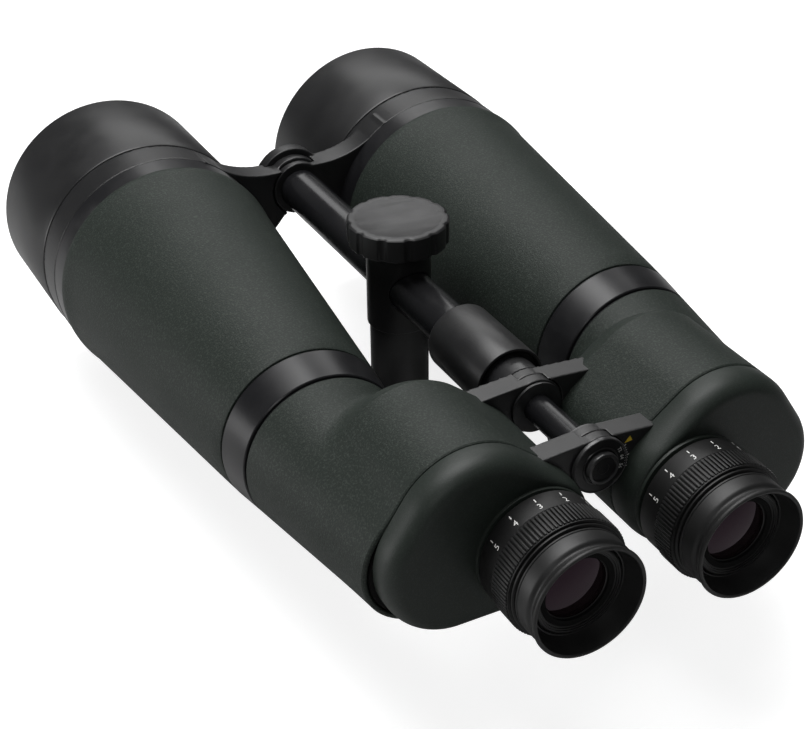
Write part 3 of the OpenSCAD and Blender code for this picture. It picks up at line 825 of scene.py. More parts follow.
@dataclass
class ObjectiveEnd:
    """Hood, yoke, objective cell and the lenses of one telescope."""

    side: Side
    wall: float = 2.2 * MM
    thread_pitch: float = 1.6 * MM
    thread_depth: float = 0.35 * MM

    def build(self) -> None:
        """Builds and dresses the objective end."""
        self.hood()
        dress(self.side.of("objective_cell"), Palette.gloss)
        yoke = Bench.recast(self.side.of("yoke"), self.side.of("yoke_casting"), 0.55 * MM)
        fit(yoke, Palette.satin, self.side.body("half"), self.side.of("yoke"))
        dress(self.side.of("objective_retainer"), Palette.anodised)
        dress(self.side.of("crown_lens"), Palette.lens)
        dress(self.side.of("flint_lens"), Palette.lens)

    def hood(self) -> None:
        """The dew shield, with a rounded lip and fine threads inside that kill stray light."""
        node = self.side.of("hood")
        rear, front = ends(node)
        radius = girth(node)
        mouth = radius - self.wall
        seat = ends(self.side.of("objective_cell"))[1]
        profile = stations(rear, radius, (0, -1.2), (0.5, -0.3), (1.1, 0))
        profile += stations(front, radius, (-1.6, 0), (-0.8, -0.25), (-0.15, -0.9))
        profile += [(front, radius - self.wall / 2), *stations(front, mouth, (-0.2, 0.4), (-0.8, 0))]
        start = front - 4 * MM
        for i in range(int((start - seat - 3 * MM) / self.thread_pitch)):
            profile.append((start - i * self.thread_pitch, mouth))
            profile.append((start - (i + 0.5) * self.thread_pitch, mouth + self.thread_depth))
        profile += [(seat + 1 * MM, mouth), (rear, mouth - 0.6 * MM)]
        piece = Bench.turned(self.side.of("hood_skin"), Axis.ALONG, mid(node), profile)
        fit(piece, Palette.satin, self.side.body("half"), node)


@dataclass
class Barrel:
    """The tapered barrel with its rubber armour, and the black band behind it."""

    side: Side
    skin: float = 2.5 * MM
    groove: float = 1.1 * MM
    steps: int = 16

    def build(self) -> None:
        """Builds and dresses the barrel."""
        self.armour()
        self.band()
        dress(self.side.of("barrel_tube"), Palette.flock)

    def armour(self) -> None:
        """The rubber armour: a long cone with a soft shoulder at the objective cell."""
        node = self.side.of("barrel_armour")
        back, head = ends(node)
        front, rear = girth(node), girth(self.side.of("neck_band"))
        cone = head - 7.6 * MM
        slope = (front - 0.9 * MM - rear) / (cone - back)
        profile = [(back + 0.05 * MM, rear - self.skin)]
        profile += stations(back, rear, (0, -1.2), (0.25, -0.35), (0.9, 0.02))
        for i in range(1, self.steps + 1):
            y = back + 0.9 * MM + (cone - back - 0.9 * MM) * i / self.steps
            profile.append((y, rear + slope * (y - back)))
        profile += stations(cone, front, (3, -0.2), (5, 0))
        profile += [*stations(head, front, (-0.8, 0), (-0.2, -0.35), (0, -1.0)), (head, front - self.skin)]
        piece = Bench.turned(self.side.of("barrel_rubber"), Axis.ALONG, mid(node), profile, segments=160)
        fit(piece, Palette.armour, self.side.body("half"), node)

    def band(self) -> None:
        """The bare black band, with a fine groove at both ends."""
        node = self.side.of("neck_band")
        back, head = ends(node)
        front = girth(node)
        rear, bore = front - 2.6 * MM, front - 6 * MM
        slope = (front - rear) / (head - back)
        g = self.groove
        profile = [(back, bore), (back, rear - g), (back + 0.9 * g, rear - g)]
        rims = stations(back + g, 0, (0, 0.35), (0.4, 0)) + stations(head - g, 0, (-0.4, 0), (0, 0.35))
        profile += [(y, rear + slope * (y - back) - inner) for y, inner in rims]
        profile += [(head - 0.9 * g, front - g), (head, front - g), (head, bore)]
        piece = Bench.turned(self.side.of("band_ring"), Axis.ALONG, mid(node), profile, segments=160)
        fit(piece, Palette.gloss, self.side.body("half"), node)


@dataclass
class PrismHousing:
    """The prism housing: casting and hinge arms, rubber armour and rear cover."""

    side: Side
    shoulder_length: float = 25 * MM
    shoulder_depth: float = 24 * MM
    neck_rear: float = 21.8 * MM
    neck_front: float = 32.5 * MM
    tail: float = 8.4 * MM
    blend: float = 7 * MM
    shoulder_slope: float = 0.4
    crease_angle: float = 18.0
    cover_rounding: float = 8 * MM
    cover_inset: float = 5.5 * MM
    cover_shares: tuple[float, float, float, float] = (1.0, 1.0, 0.45, 1.0)
    face_rows: int = 10
    face_well: float = 21.5 * MM
    flange_radius: float = 22.8 * MM
    flange_height: float = 1.3 * MM
    flange_bore: float = 19.6 * MM
    knuckle_clear: float = 11.7 * MM
    columns: int = 192

    def __post_init__(self) -> None:
        """Reads the axes and stations from the CAD boxes, on the right-hand side's terms."""
        objective, eye = mid(self.side.of("hood")), mid(self.side.of("eyecup"))
        self.objective = ox, oz = abs(objective.x), objective.z
        self.eye = ex, ez = abs(eye.x), eye.z
        self.hinge = mid("hinge_bar").z
        self.seam, self.neck = ends(self.side.of("housing_armour"))
        self.rear = ends(self.side.of("rear_cover"))[0] + self.flange_height
        self.shoulder = self.neck - self.tail - self.shoulder_length
        self.lobes = [
            (ox - 9.1 * MM, oz + 4 * MM, 28 * MM),
            (ox - 18.1 * MM, oz + 14 * MM, 30 * MM),
            (ex + 0.7 * MM, ez + 0.7 * MM, 25.4 * MM),
            (ex + 12.2 * MM, ez - 6.3 * MM, 22.7 * MM),
        ]
        self.centre = (ox - 11.6 * MM, oz + 3 * MM)

    def build(self) -> None:
        """Builds and dresses the housing."""
        self.armour()
        self.cover()
        finishes = {
            "prism_housing": Palette.flock, "prism_shelf": Palette.flock, "rear_prism": Palette.prism,
            "front_prism": Palette.prism, "prism_clips": Palette.steel,
        }
        for node, finish in finishes.items():
            dress(self.side.of(node), finish)
        node = self.side.of("hinge_arms")
        arms = Bench.recast(node, self.side.of("arm_castings"), 0.32 * MM, smoothing=2)
        fit(arms, Palette.arm, self.side.body("half"), node)

    @staticmethod
    def reach(origin: Station, heading: float, disc: tuple[float, float, float]) -> float:
        """How far along a ray from the origin a circle's far side is, or 0 if it is missed.

        Args:
            origin: Start of the ray in X and Z.
            heading: Its angle in radians.
            disc: The circle's X, Z and radius.

        Returns:
            The distance in metres.
        """
        dx, dz = disc[0] - origin[0], disc[1] - origin[1]
        along = dx * math.cos(heading) + dz * math.sin(heading)
        across = dz * math.cos(heading) - dx * math.sin(heading)
        if abs(across) > disc[2]:
            return 0.0
        return max(0.0, along + math.sqrt(disc[2] ** 2 - across**2))

    def body_reach(self, heading: float, inset: float, shares: Sequence[float] = (1.0,) * 4) -> float:
        """Distance from the housing's middle to its outline: four circles and their outer tangents.

        Args:
            heading: Angle round the housing's middle in radians.
            inset: How far the outline is drawn in.
            shares: Share of the inset that each circle takes.

        Returns:
            The distance in metres.
        """
        rounds = [(x, z, max(r - inset * share, 0.5 * MM)) for (x, z, r), share in zip(self.lobes, shares)]
        far = max(self.reach(self.centre, heading, one) for one in rounds)
        ux, uz = math.cos(heading), math.sin(heading)
        for a, b in zip(rounds, rounds[1:] + rounds[:1]):
            gap = math.hypot(b[0] - a[0], b[1] - a[1])
            lean = math.acos(max(-1.0, min(1.0, (a[2] - b[2]) / gap)))
            turn = math.atan2(b[1] - a[1], b[0] - a[0]) - lean
            nx, nz = math.cos(turn), math.sin(turn)
            px, pz = a[0] + a[2] * nx, a[1] + a[2] * nz
            qx, qz = b[0] + b[2] * nx, b[1] + b[2] * nz
            facing = nx * ux + nz * uz
            if facing <= 1e-6:
                continue
            distance = ((px - self.centre[0]) * nx + (pz - self.centre[1]) * nz) / facing
            hx, hz = self.centre[0] + ux * distance, self.centre[1] + uz * distance
            length = max((qx - px) ** 2 + (qz - pz) ** 2, 1e-12)
            if 0 <= ((hx - px) * (qx - px) + (hz - pz) * (qz - pz)) / length <= 1:
                far = max(far, distance)
        return far

    def spot(self, heading: float, distance: float) -> Station:
        """X and Z of a point seen from the housing's middle, kept clear of the hinge's knuckles.

        Args:
            heading: Angle round the housing's middle in radians.
            distance: How far from the middle, in metres.

        Returns:
            X and Z in metres.
        """
        x = self.centre[0] + distance * math.cos(heading)
        z = self.centre[1] + distance * math.sin(heading)
        away = math.hypot(x, z - self.hinge)
        if away < self.knuckle_clear:
            x, z = x * self.knuckle_clear / away, self.hinge + (z - self.hinge) * self.knuckle_clear / away
        return x, z

    def outline(self, heading: float, y: float, inset: float) -> Vector:
        """A point of the housing's outer skin: the prism body and the neck, softly blended.

        Args:
            heading: Angle round the housing's middle in radians.
            y: The station.
            inset: How far under the outer skin.

        Returns:
            The point in the row frame.
        """
        share = (y - self.shoulder) / self.shoulder_length
        part = max(0.0, min(share, 1.0))
        drawn = self.shoulder_depth * part * (self.shoulder_slope + (1 - self.shoulder_slope) * part)
        body = self.body_reach(heading, inset + drawn)
        if share > 1:
            past = (y - self.shoulder - self.shoulder_length) / (self.tail + 0.5 * MM)
            body *= math.sqrt(max(0.0, 1 - past * past))
        along = (y - self.seam) / (self.neck - self.seam)
        neck = self.neck_rear + (self.neck_front - self.neck_rear) * along - inset
        tube = self.reach(self.centre, heading, (*self.objective, neck))
        near = max(0.0, self.blend - abs(body - tube)) / self.blend
        fade = min(1.0, max(0.0, (self.neck - y) / (10 * MM)))
        x, z = self.spot(heading, max(body, tube) + near * near * self.blend / 4 * fade)
        return Vector((self.side.value * x, y, z))

    def armour(self) -> None:
        """The rubber armour of the housing, one soft form from the cover seam to the black band."""
        edge = 1.0 * MM
        rows = stations(self.seam, 0, (0.6, 2), (0.1, 1.5), (0.1, 1), (0.4, 0.35), (1, 0))
        length = self.shoulder - self.seam - edge
        rows += [(self.seam + edge + length * i / 12, 0.0) for i in range(1, 13)]
        length = self.neck - edge - self.shoulder
        rows += [(self.shoulder + length * i / 34, 0.0) for i in range(1, 35)]
        rows += stations(self.neck, 0, (-0.4, 0.3), (0, 1), (0, 2))

        def place(share: float, row: int) -> Vector:
            """The skin's point at a share of the way round, on a row."""
            return self.outline(2 * math.pi * share, *rows[row])

        piece = Bench.skin(self.side.of("housing_rubber"), len(rows), self.columns, place)
        Bench.shade(piece, self.crease_angle)
        fit(piece, Palette.armour, self.side.body("half"), self.side.of("housing_armour"))

    def cover(self) -> None:
        """The rear cover: a shallow cap with a rounded edge and a flat face round the eyepiece."""
        rows = stations(self.seam, 0, (-0.1, 1.6), (-0.1, 0.8), (-0.3, 0.25), (-0.9, 0))
        for t in (math.radians(10 * i) for i in range(10)):
            drop, draw = self.cover_rounding * (1 - math.sin(t)), self.cover_inset * (1 - math.cos(t))
            rows.append((self.rear + drop, draw))

        def place(share: float, row: int) -> Vector:
            """The cover's point at a share of the way round, on a row.

            Args:
                share: Share of the way round, from 0 to 1.
                row: The row, counted from the seam.

            Returns:
                The point in the row frame.
            """
            heading = 2 * math.pi * share
            y, inset = rows[min(row, len(rows) - 1)]
            x, z = self.spot(heading, self.body_reach(heading, inset, self.cover_shares))
            if row >= len(rows):
                inward = (row - len(rows) + 1) / self.face_rows
                spoke = math.atan2(z - self.eye[1], x - self.eye[0])
                x += inward * (self.eye[0] + self.face_well * math.cos(spoke) - x)
                z += inward * (self.eye[1] + self.face_well * math.sin(spoke) - z)
            return Vector((self.side.value * x, y, z))

        skin = Bench.skin(self.side.of("cover_face"), len(rows) + self.face_rows, self.columns, place)
        base, rim, bore = self.rear - self.flange_height, self.flange_radius, self.flange_bore
        inside = self.rear + 0.6 * MM
        flange = [(inside, rim), *stations(base, rim, (0.35, 0), (0.1, -0.1), (0, -0.35))]
        flange += [(base, bore), (inside, bore)]
        eyecup = mid(self.side.of("eyecup"))
        collar = Bench.turned(self.side.of("cover_collar"), Axis.ALONG, eyecup, flange, segments=96)
        piece = Bench.join(self.side.of("cover_skin"), [skin, collar])
        Bench.shade(piece)
        fit(piece, Palette.cover, self.side.body("half"), self.side.of("rear_cover"))


@dataclass
class Eyepiece:
    """Base tube, sliding cell, focus ring and rubber eyecup of one eyepiece."""

    side: Side
    ribs: int = 96
    rib_height: float = 0.75 * MM
    rib_width: float = 1.0 * MM
    rib_root: float = 0.3 * MM
    grip_length: float = 10.3 * MM
    step_length: float = 1.8 * MM
    ring_bore: float = 14.55 * MM
    base_bore: float = 19.8 * MM
    scale_radius: float = 23.4 * MM
    lens_seat: float = 12.1 * MM
    digit_height: float = 2.6 * MM
    dioptres: int = 5
    dioptre_angle: float = 25.0

    def __post_init__(self) -> None:
        """Reads the eyepiece's axis and stations from the CAD boxes."""
        self.centre = mid(self.side.of("eyecup"))
        self.rim, self.hub = ends(self.side.of("eyecup"))
        self.web, self.front = ends(self.side.of("focus_ring"))
        self.grip_rear = self.hub + self.step_length
        self.grip_front = self.grip_rear + self.grip_length
        self.grip_radius = girth(self.side.of("focus_ring"))

    @property
    def zero(self) -> float:
        """Angle of the scale's zero, in degrees from +X towards +Z: each ring was set by its own user."""
        return 24.0 if self.side is Side.LEFT else 32.0

    def build(self) -> None:
        """Builds and dresses the eyepiece."""
        self.ring()
        self.scale()
        self.cup()
        self.retainer()
        self.lens()
        dress(self.side.of("eyepiece_base"), Palette.anodised)
        dress(self.side.of("ocular_cell"), Palette.flock)
        dress(self.side.of("field_lens"), Palette.lens_ring)

    def turned(self, name: str, profile: Sequence[Station], segments: int = 144, ring: bool = True) -> Piece:
        """A piece turned about the eyepiece's own axis; see Bench.turned."""
        return Bench.turned(self.side.of(name), Axis.ALONG, self.centre, profile, segments, ring)

    def ring(self) -> None:
        """The focus ring: a stepped rear edge, rounded ribs and a smooth band for the scale."""
        valley = self.grip_radius - self.rib_height
        profile = [(self.web, self.ring_bore), (self.web, 20.6 * MM)]
        profile += stations(self.hub, 0, (0.3, 20.6), (0.3, 22.0), (0.55, 22.45))
        profile += stations(self.grip_rear, 0, (-0.75, 22.55), (-0.55, 22.3), (-0.35, 22.3))
        profile += stations(self.grip_rear, valley, (-0.2, 0.3), (0.3, 0.3), (0.45, 0))
        profile += stations(self.grip_front, valley, (-0.5, 0))
        profile += stations(self.grip_front, self.scale_radius, (-0.35, -0.3), (0.1, 0))
        profile += stations(self.front, self.scale_radius, (-0.7, 0), (-0.2, -0.25), (0, -0.8))
        profile += [(self.front, self.base_bore), (self.web + 5.7 * MM, self.base_bore)]
        profile += [(self.web + 5.7 * MM, self.ring_bore)]
        ring = Bench.join(
            self.side.of("focus_grip"), [self.turned("ring_body", profile), self.rib_crown(valley)]
        )
        Bench.shade(ring)
        fit(ring, Palette.grip, self.side.body("focus"), self.side.of("focus_ring"))

    def rib_crown(self, valley: float) -> Piece:
        """The ribs of the grip: one rounded rib, spun round the eyepiece.

        Args:
            valley: Radius of the ring between the ribs.

        Returns:
            All the ribs as one object.
        """
        Bench.clear()
        depth = self.rib_height + self.rib_root
        middle = (self.grip_rear + self.grip_front) / 2
        height = self.centre.z + valley + depth / 2 - self.rib_root
        bpy.ops.mesh.primitive_cube_add(size=1, location=(self.centre.x, middle, height))
        rib = bpy.context.object
        rib.scale = (self.rib_width, self.grip_length - 0.9 * MM, depth)
        Bench.settle(rib)
        Bench.modify(rib, "BEVEL", width=0.32 * MM, segments=2, limit_method="ANGLE")
        Bench.only(rib)
        bpy.ops.object.mode_set(mode="EDIT")
        bpy.ops.mesh.select_all(action="SELECT")
        bpy.ops.mesh.spin(
            steps=self.ribs - 1,
            dupli=True,
            angle=math.tau * (self.ribs - 1) / self.ribs,
            center=self.centre,
            axis=(0, 1, 0),
        )
        bpy.ops.object.mode_set(mode="OBJECT")
        return rib

    def wrapped(self, piece: Piece, angle: float, foot: float) -> Piece:
        """Lays a flat mark on the round of the scale, with its top towards the objectives.

        Args:
            piece: A flat mesh drawn in X and Y about the origin.
            angle: Where it goes, in degrees from +X towards +Z.
            foot: Station of the mark's origin, in millimetres from the grip.

        Returns:
            The same object.
        """
        radius, y = self.scale_radius + 0.03 * MM, self.grip_front + foot * MM
        for point in piece.data.vertices:
            turn = math.radians(angle) - point.co.x / radius
            along = y + point.co.y
            across, up = radius * math.cos(turn), radius * math.sin(turn)
            point.co = (self.centre.x + across, along, self.centre.z + up)
        return piece

    def scale(self) -> None:
        """The painted dioptre scale: a tick and a number at each step."""
        marks = []
        for value in range(-self.dioptres, self.dioptres + 1):
            angle = self.zero + self.dioptre_angle * value
            marks.append(self.wrapped(numeral(str(abs(value)), self.digit_height), angle, 1.5))
            marks.append(self.wrapped(tick(0.4 * MM, 1.6 * MM), angle, 5.2))
        scale = Bench.join(self.side.of("dioptre_scale"), marks)
        Bench.close(scale, merge=1e-7)
        fit(scale, Palette.white_mark, self.side.body("focus"))

    def cup(self) -> None:
        """The rubber eyecup: a smooth collar, a waist, a flared lip and a deep inner slope."""
        r, y, collar = girth(self.side.of("eyecup")), self.rim, 21.65 * MM
        profile = stations(y, r, (0.35, -1.5), (0.05, -1.1), (0, -0.7), (0.15, -0.3), (0.5, -0.06), (1.0, 0))
        profile += stations(y, r, (1.6, -0.15), (2.4, -0.75), (3.2, -1.35), (4.0, -1.6), (4.6, -1.5))
        profile += stations(y, collar, (5.0, -0.7), (5.5, -0.25), (6.3, 0))
        profile += stations(self.hub, collar, (-1.6, 0), (-1.4, -0.3), (-1.1, -0.3), (-0.9, 0), (-0.3, 0))
        profile += stations(self.hub, collar, (0, -0.35)) + stations(self.hub, 0, (0, 20.65))
        profile += stations(self.web, 0, (-0.05, 20.65), (-0.05, 17.8), (-2.1, 17.6), (-2.5, 17.75))
        profile += stations(self.web, 0, (-2.6, 18.2), (-4.0, 18.75), (-6.5, 19.6))
        piece = self.turned("cup_rubber", profile)
        fit(piece, Palette.rubber, self.side.body("focus"), self.side.of("eyecup"))

    def lens(self) -> None:
        """The eye lens, with a smooth convex face and a blackened edge; it is opaque, and its dark body
        colour is painted shade of the eyepiece's dark inside.
        """
        node, sag = self.side.of("eye_lens"), 1.6 * MM
        (rear, front), radius = ends(node), girth(node)
        steps = [math.sin(math.radians(9 * i)) for i in range(10, 0, -1)]
        face = [(rear + sag * share * share, radius * share) for share in steps]
        profile = [(front, radius * 0.2), (front, radius - 0.3 * MM), (front - 0.3 * MM, radius), *face]
        piece = self.turned("eye_glass", profile, segments=96, ring=False)
        fit(piece, Palette.eye_lens, self.side.body("ocular"), node)

    def retainer(self) -> None:
        """The ocular retaining ring, stepped down to the eye lens."""
        y, seat = self.web - 0.2 * MM, 17.35 * MM
        profile = [(y, self.ring_bore)]
        profile += stations(y, seat, (0, 0), (-2.5, 0), (-2.85, -0.35), (-3.0, -0.9), (-2.9, -1.3))
        for i in range(5):
            profile.append((y - (2.9 - 0.42 * i) * MM + 0.36 * MM, seat - (1.4 + 0.72 * i) * MM))
            profile.append((y - (2.9 - 0.42 * i) * MM + 0.40 * MM, seat - (2.0 + 0.72 * i) * MM))
        profile += [(y - 0.55 * MM, self.lens_seat)]
        piece = self.turned("lens_ring", profile, segments=128)
        fit(piece, Palette.lens_ring, self.side.body("ocular"), self.side.of("ocular_retainer"))


def numeral(text: str, height: float) -> Piece:
    """A flat painted number, centred on X with its foot on the X axis.

    Args:
        text: The digits.
        height: Height of the digits in metres.

    Returns:
        The number as a flat mesh.
    """
    Bench.clear()
    bpy.ops.object.text_add()
    piece = bpy.context.object
    piece.data.body = text
    piece.data.size = height / 0.72
    piece.data.align_x = "CENTER"
    piece.data.resolution_u = 3
    bpy.ops.object.convert(target="MESH")
    return bpy.context.object


def blunted(piece: Piece, size: tuple[float, float], corner: float, segments: int) -> Piece:
    """Stretches a flat mark and blunts its corners.

    Args:
        piece: The mark as a flat mesh.
        size: Its stretch along X and Y.
        corner: How far each corner is drawn in, in metres.
        segments: Faces across each corner.

    Returns:
        The same object.
    """
    piece.scale = (*size, 1)
    Bench.settle(piece)
    bpy.ops.object.mode_set(mode="EDIT")
    bpy.ops.mesh.select_all(action="SELECT")
    bpy.ops.mesh.bevel(offset=corner, segments=segments, affect="VERTICES")
    bpy.ops.object.mode_set(mode="OBJECT")
    return piece


def tick(width: float, length: float) -> Piece:
    """A flat painted tick that stands on the X axis, with blunted corners.

    Args:
        width: Its width in metres.
        length: Its length in metres.

    Returns:
        The tick as a flat mesh.
    """
    Bench.clear()
    bpy.ops.mesh.primitive_plane_add(size=1, location=(0, length / 2, 0))
    return blunted(bpy.context.object, (width, length), 0.2 * width, 1)


@dataclass
class CentreBar:
    """The bar, its sleeve, washers, caps and the fold scale."""

    axle: float = 5.6 * MM
    bar: float = 9.35 * MM
    journal: float = 7.0 * MM
    mouth: float = 13.2 * MM
    scale_marks: int = 9
    scale_start: float = -17.0
    scale_sweep: float = 47.0
    pointer_angle: float = 27.0

    def __post_init__(self) -> None:
        """Reads the bar's axis and stations from the CAD boxes."""
        self.centre = mid("hinge_bar")
        self.sleeve_rear, self.sleeve_front = ends("bar_sleeve")

    def build(self) -> None:
        """Builds and dresses the bar's pieces."""
        self.rod()
        self.sleeve()
        self.disc()
        self.cap()
        self.marks()
        self.pointer()
        dress("hinge_washers", Palette.anodised)
        dress("front_cap", Palette.satin)

    def turned(self, name: str, profile: Sequence[Station], segments: int = 128, ring: bool = True) -> Piece:
        """A piece turned about the bar's axis; see Bench.turned."""
        return Bench.turned(name, Axis.ALONG, self.centre, profile, segments, ring)

    def rod(self) -> None:
        """The turned bar: axle, hub, bar and front journal, with broken edges."""
        (rear, front), hub = ends("hinge_bar"), girth("hinge_bar")
        hub_front = self.sleeve_rear + 3 * MM
        hub_rear = hub_front - 11.9 * MM
        yoke_rear = ends("yoke_left")[0] - 0.3 * MM
        e = 0.45 * MM
        profile = [(rear, self.axle), (hub_rear, self.axle), (hub_rear, hub - e), (hub_rear + e, hub)]
        profile += [(hub_front - e, hub), (hub_front, hub - e), (hub_front, self.bar)]
        profile += [(yoke_rear - e, self.bar), (yoke_rear, self.bar - e), (yoke_rear, self.journal)]
        profile += [(front - e, self.journal), (front, self.journal - e)]
        fit(self.turned("centre_rod", profile, 96, ring=False), Palette.bar, "bar", "hinge_bar")

    def sleeve(self) -> None:
        """The sleeve behind the bar: rounded front edge, thin rim and a dark mouth at the rear."""
        radius, bore, rear = girth("bar_sleeve"), self.bar + 0.05 * MM, self.sleeve_rear
        profile = [(rear + 3.4 * MM, bore), *stations(rear, self.mouth, (3.4, -0.2), (0.3, 0), (0, 0.3))]
        profile += stations(rear, radius, (0, -0.5), (0.15, -0.15), (0.5, 0))
        profile += stations(self.sleeve_front, radius, (-1.2, 0), (-0.55, -0.25), (-0.1, -0.8), (0, -1.4))
        profile += [(self.sleeve_front, bore)]
        fit(self.turned("sleeve_tube", profile), Palette.satin, "bar", "bar_sleeve")

    def disc(self) -> None:
        """The fold-scale disc with a raised rim and a raised inner ring."""
        (y, front), radius, bore = ends("scale_disc"), girth("scale_disc"), self.axle + 0.05 * MM
        profile = [(front, bore), *stations(front, radius, (0, -0.2), (-0.2, 0))]
        profile += stations(y, radius, (0.35, 0), (0.1, -0.12), (0, -0.4), (0.05, -0.6), (0.3, -0.75))
        profile += stations(y, 0, (0.3, 7.5), (0.05, 7.3), (0.05, 6.9), (0.3, 6.75))
        profile += [(y + 0.3 * MM, bore)]
        fit(self.turned("fold_scale_disc", profile), Palette.disc, "left_half", "scale_disc")

    def cap(self) -> None:
        """The rear cap: a ring round a shallow well."""
        (y, front), radius = ends("rear_cap"), girth("rear_cap")
        profile = [(front, radius - 0.02 * MM), *stations(y, radius, (0.55, 0), (0.2, -0.15), (0, -0.55))]
        profile += stations(y, radius, (0, -1.1), (0.2, -1.35), (0.8, -1.5))
        profile += stations(y, 0, (0.8, 2.4), (0.65, 2.2), (0.65, 0.4))
        fit(self.turned("axle_cap", profile, 96, ring=False), Palette.disc, "bar", "rear_cap")

    def marks(self) -> None:
        """Eye-spacing ticks and numbers on the disc."""
        face = ends("scale_disc")[0] + 0.3 * MM - 0.03 * MM
        drawn = []
        for i in range(self.scale_marks):
            angle = self.scale_start + self.scale_sweep * i / (self.scale_marks - 1)
            drawn.append(self.flat(tick(0.3 * MM, (1.1 if i % 4 else 1.7) * MM), angle, 10.3 * MM, face))
        for i, text in enumerate(("56", "64", "72")):
            angle = self.scale_start + self.scale_sweep / 2 * i
            drawn.append(self.flat(numeral(text, 1.5 * MM), angle, 8.3 * MM, face))
        scale = Bench.join("eye_spacing_marks", drawn)
        Bench.close(scale, merge=1e-7)
        fit(scale, Palette.white_mark, "left_half")

    def pointer(self) -> None:
        """The painted pointer on the right arm, aimed at the disc."""
        Bench.clear()
        bpy.ops.mesh.primitive_circle_add(vertices=3, radius=1.9 * MM, fill_type="NGON")
        pointer = blunted(Bench.named("fold_pointer"), (0.75, 1.15), 0.12 * MM, 2)
        face = ends("hinge_arms_right")[0] - 0.03 * MM
        Bench.close(self.flat(pointer, self.pointer_angle, 14.0 * MM, face, sign=-1), merge=1e-7)
        fit(pointer, Palette.yellow_mark, "right_half")

    def flat(self, piece: Piece, angle: float, radius: float, y: float, sign: int = 1) -> Piece:
        """Lays a flat mark on a rear face, standing on a circle round the hinge.

        Args:
            piece: A flat mesh drawn in X and Y.
            angle: Where it goes, in degrees from +X towards +Z.
            radius: Radius its foot stands on.
            y: The face's station.
            sign: 1 if its top points away from the hinge, -1 if it points at it.

        Returns:
            The same object.
        """
        a = math.radians(angle)
        out, side = Vector((math.cos(a), 0, math.sin(a))), Vector((math.sin(a), 0, -math.cos(a)))
        hinge = Vector((self.centre.x, y, self.centre.z))
        for point in piece.data.vertices:
            point.co = hinge + out * (radius + sign * point.co.y) + side * (sign * point.co.x)
        return piece


@dataclass
class ClampPost:
    """The tripod post that slides on the bar, and its clamp knob."""

    notches: int = 12
    notch_radius: float = 3.0 * MM
    notch_depth: float = 0.8 * MM
    first_notch: float = 15.0
    thread_pitch: float = 1.27 * MM
    thread_minor: float = 2.55 * MM
    thread_major: float = 3.12 * MM

    def build(self) -> None:
        """Builds and dresses the post."""
        self.knob()
        self.column()
        self.insert()
        head = Bench.recast("post_head", "post_collar", 0.4 * MM, smoothing=3)
        fit(head, Palette.satin, "post", "post_head")
        dress("clamp_pad", Palette.brass)
        dress("clamp_screw", Palette.steel)

    def knob(self) -> None:
        """The big clamp knob: a turned top, a bright chamfer and shallow finger notches."""
        low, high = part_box("clamp_knob")
        radius, middle = girth("clamp_knob"), mid("clamp_knob")
        away = radius + self.notch_radius - self.notch_depth

        def rim(angle: float) -> float:
            """Share of the knob's radius at an angle: less in a finger notch.

            Args:
                angle: The angle round the knob in radians.

            Returns:
                The share, up to 1.
            """
            step = math.tau / self.notches
            off = (angle - math.radians(self.first_notch) + step / 2) % step - step / 2
            across = away * math.sin(off)
            if abs(across) >= self.notch_radius:
                return 1.0
            return min(1.0, (away * math.cos(off) - math.sqrt(self.notch_radius**2 - across**2)) / radius)

        under, top = low.z + 0.7 * MM, high.z
        profile = stations(under, radius, (0, -1.1), (0.25, -0.4), (0.8, 0))
        profile += stations(top, radius, (-0.75, 0), (-0.18, -0.55), (0, -0.95), (0, -3.5), (-0.12, -3.8))
        cap = Bench.turned("knob_cap", Axis.UP, middle, profile, segments=288, ring=False, shape=rim)
        hub = [*stations(low.z, 0, (0, 8.6), (0.3, 9.3)), *stations(under, 0, (0.3, 9.6))]
        boss = Bench.turned("knob_boss", Axis.UP, middle, hub, segments=64, ring=False)
        knob = Bench.join("clamp_knob_turned", [cap, boss])
        Bench.shade(knob)
        fit(knob, Palette.knob, "knob", "clamp_knob")

    def column(self) -> None:
        """The upright column, with a chamfered foot round the insert."""
        low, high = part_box("post_column")
        radius, seat, waist = girth("post_column"), girth("thread_insert") + 0.05 * MM, 8 * MM
        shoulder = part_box("post_head")[0].z
        profile = [(low.z + 12 * MM, seat), (low.z, seat)]
        profile += stations(low.z, radius, (0, -1.0), (0.3, -0.4), (1.0, 0))
        profile += [(shoulder, radius), (shoulder, waist), (high.z, waist)]
        piece = Bench.turned("post_shaft", Axis.UP, mid("post_column"), profile, ring=False)
        fit(piece, Palette.satin, "post", "post_column")

    def insert(self) -> None:
        """The brass insert with its 20-per-inch thread, drawn as ridges and grooves."""
        low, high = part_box("thread_insert")
        radius = girth("thread_insert")
        pitch, minor, major = self.thread_pitch, self.thread_minor, self.thread_major
        profile = [(high.z, minor), (high.z, radius), *stations(low.z, radius, (0.3, 0), (0, -0.3))]
        profile += [(low.z, major + 0.25 * MM)]
        z = low.z + 0.6 * MM
        while z + pitch < high.z:
            profile += [(z, minor), (z + 0.2 * pitch, minor)]
            profile += [(z + 0.55 * pitch, major), (z + 0.65 * pitch, major)]
            z += pitch
        piece = Bench.turned("threaded_insert", Axis.UP, mid("thread_insert"), profile, segments=64)
        fit(piece, Palette.brass, "post", "thread_insert")


# ---------------------------------------------------------------- studio


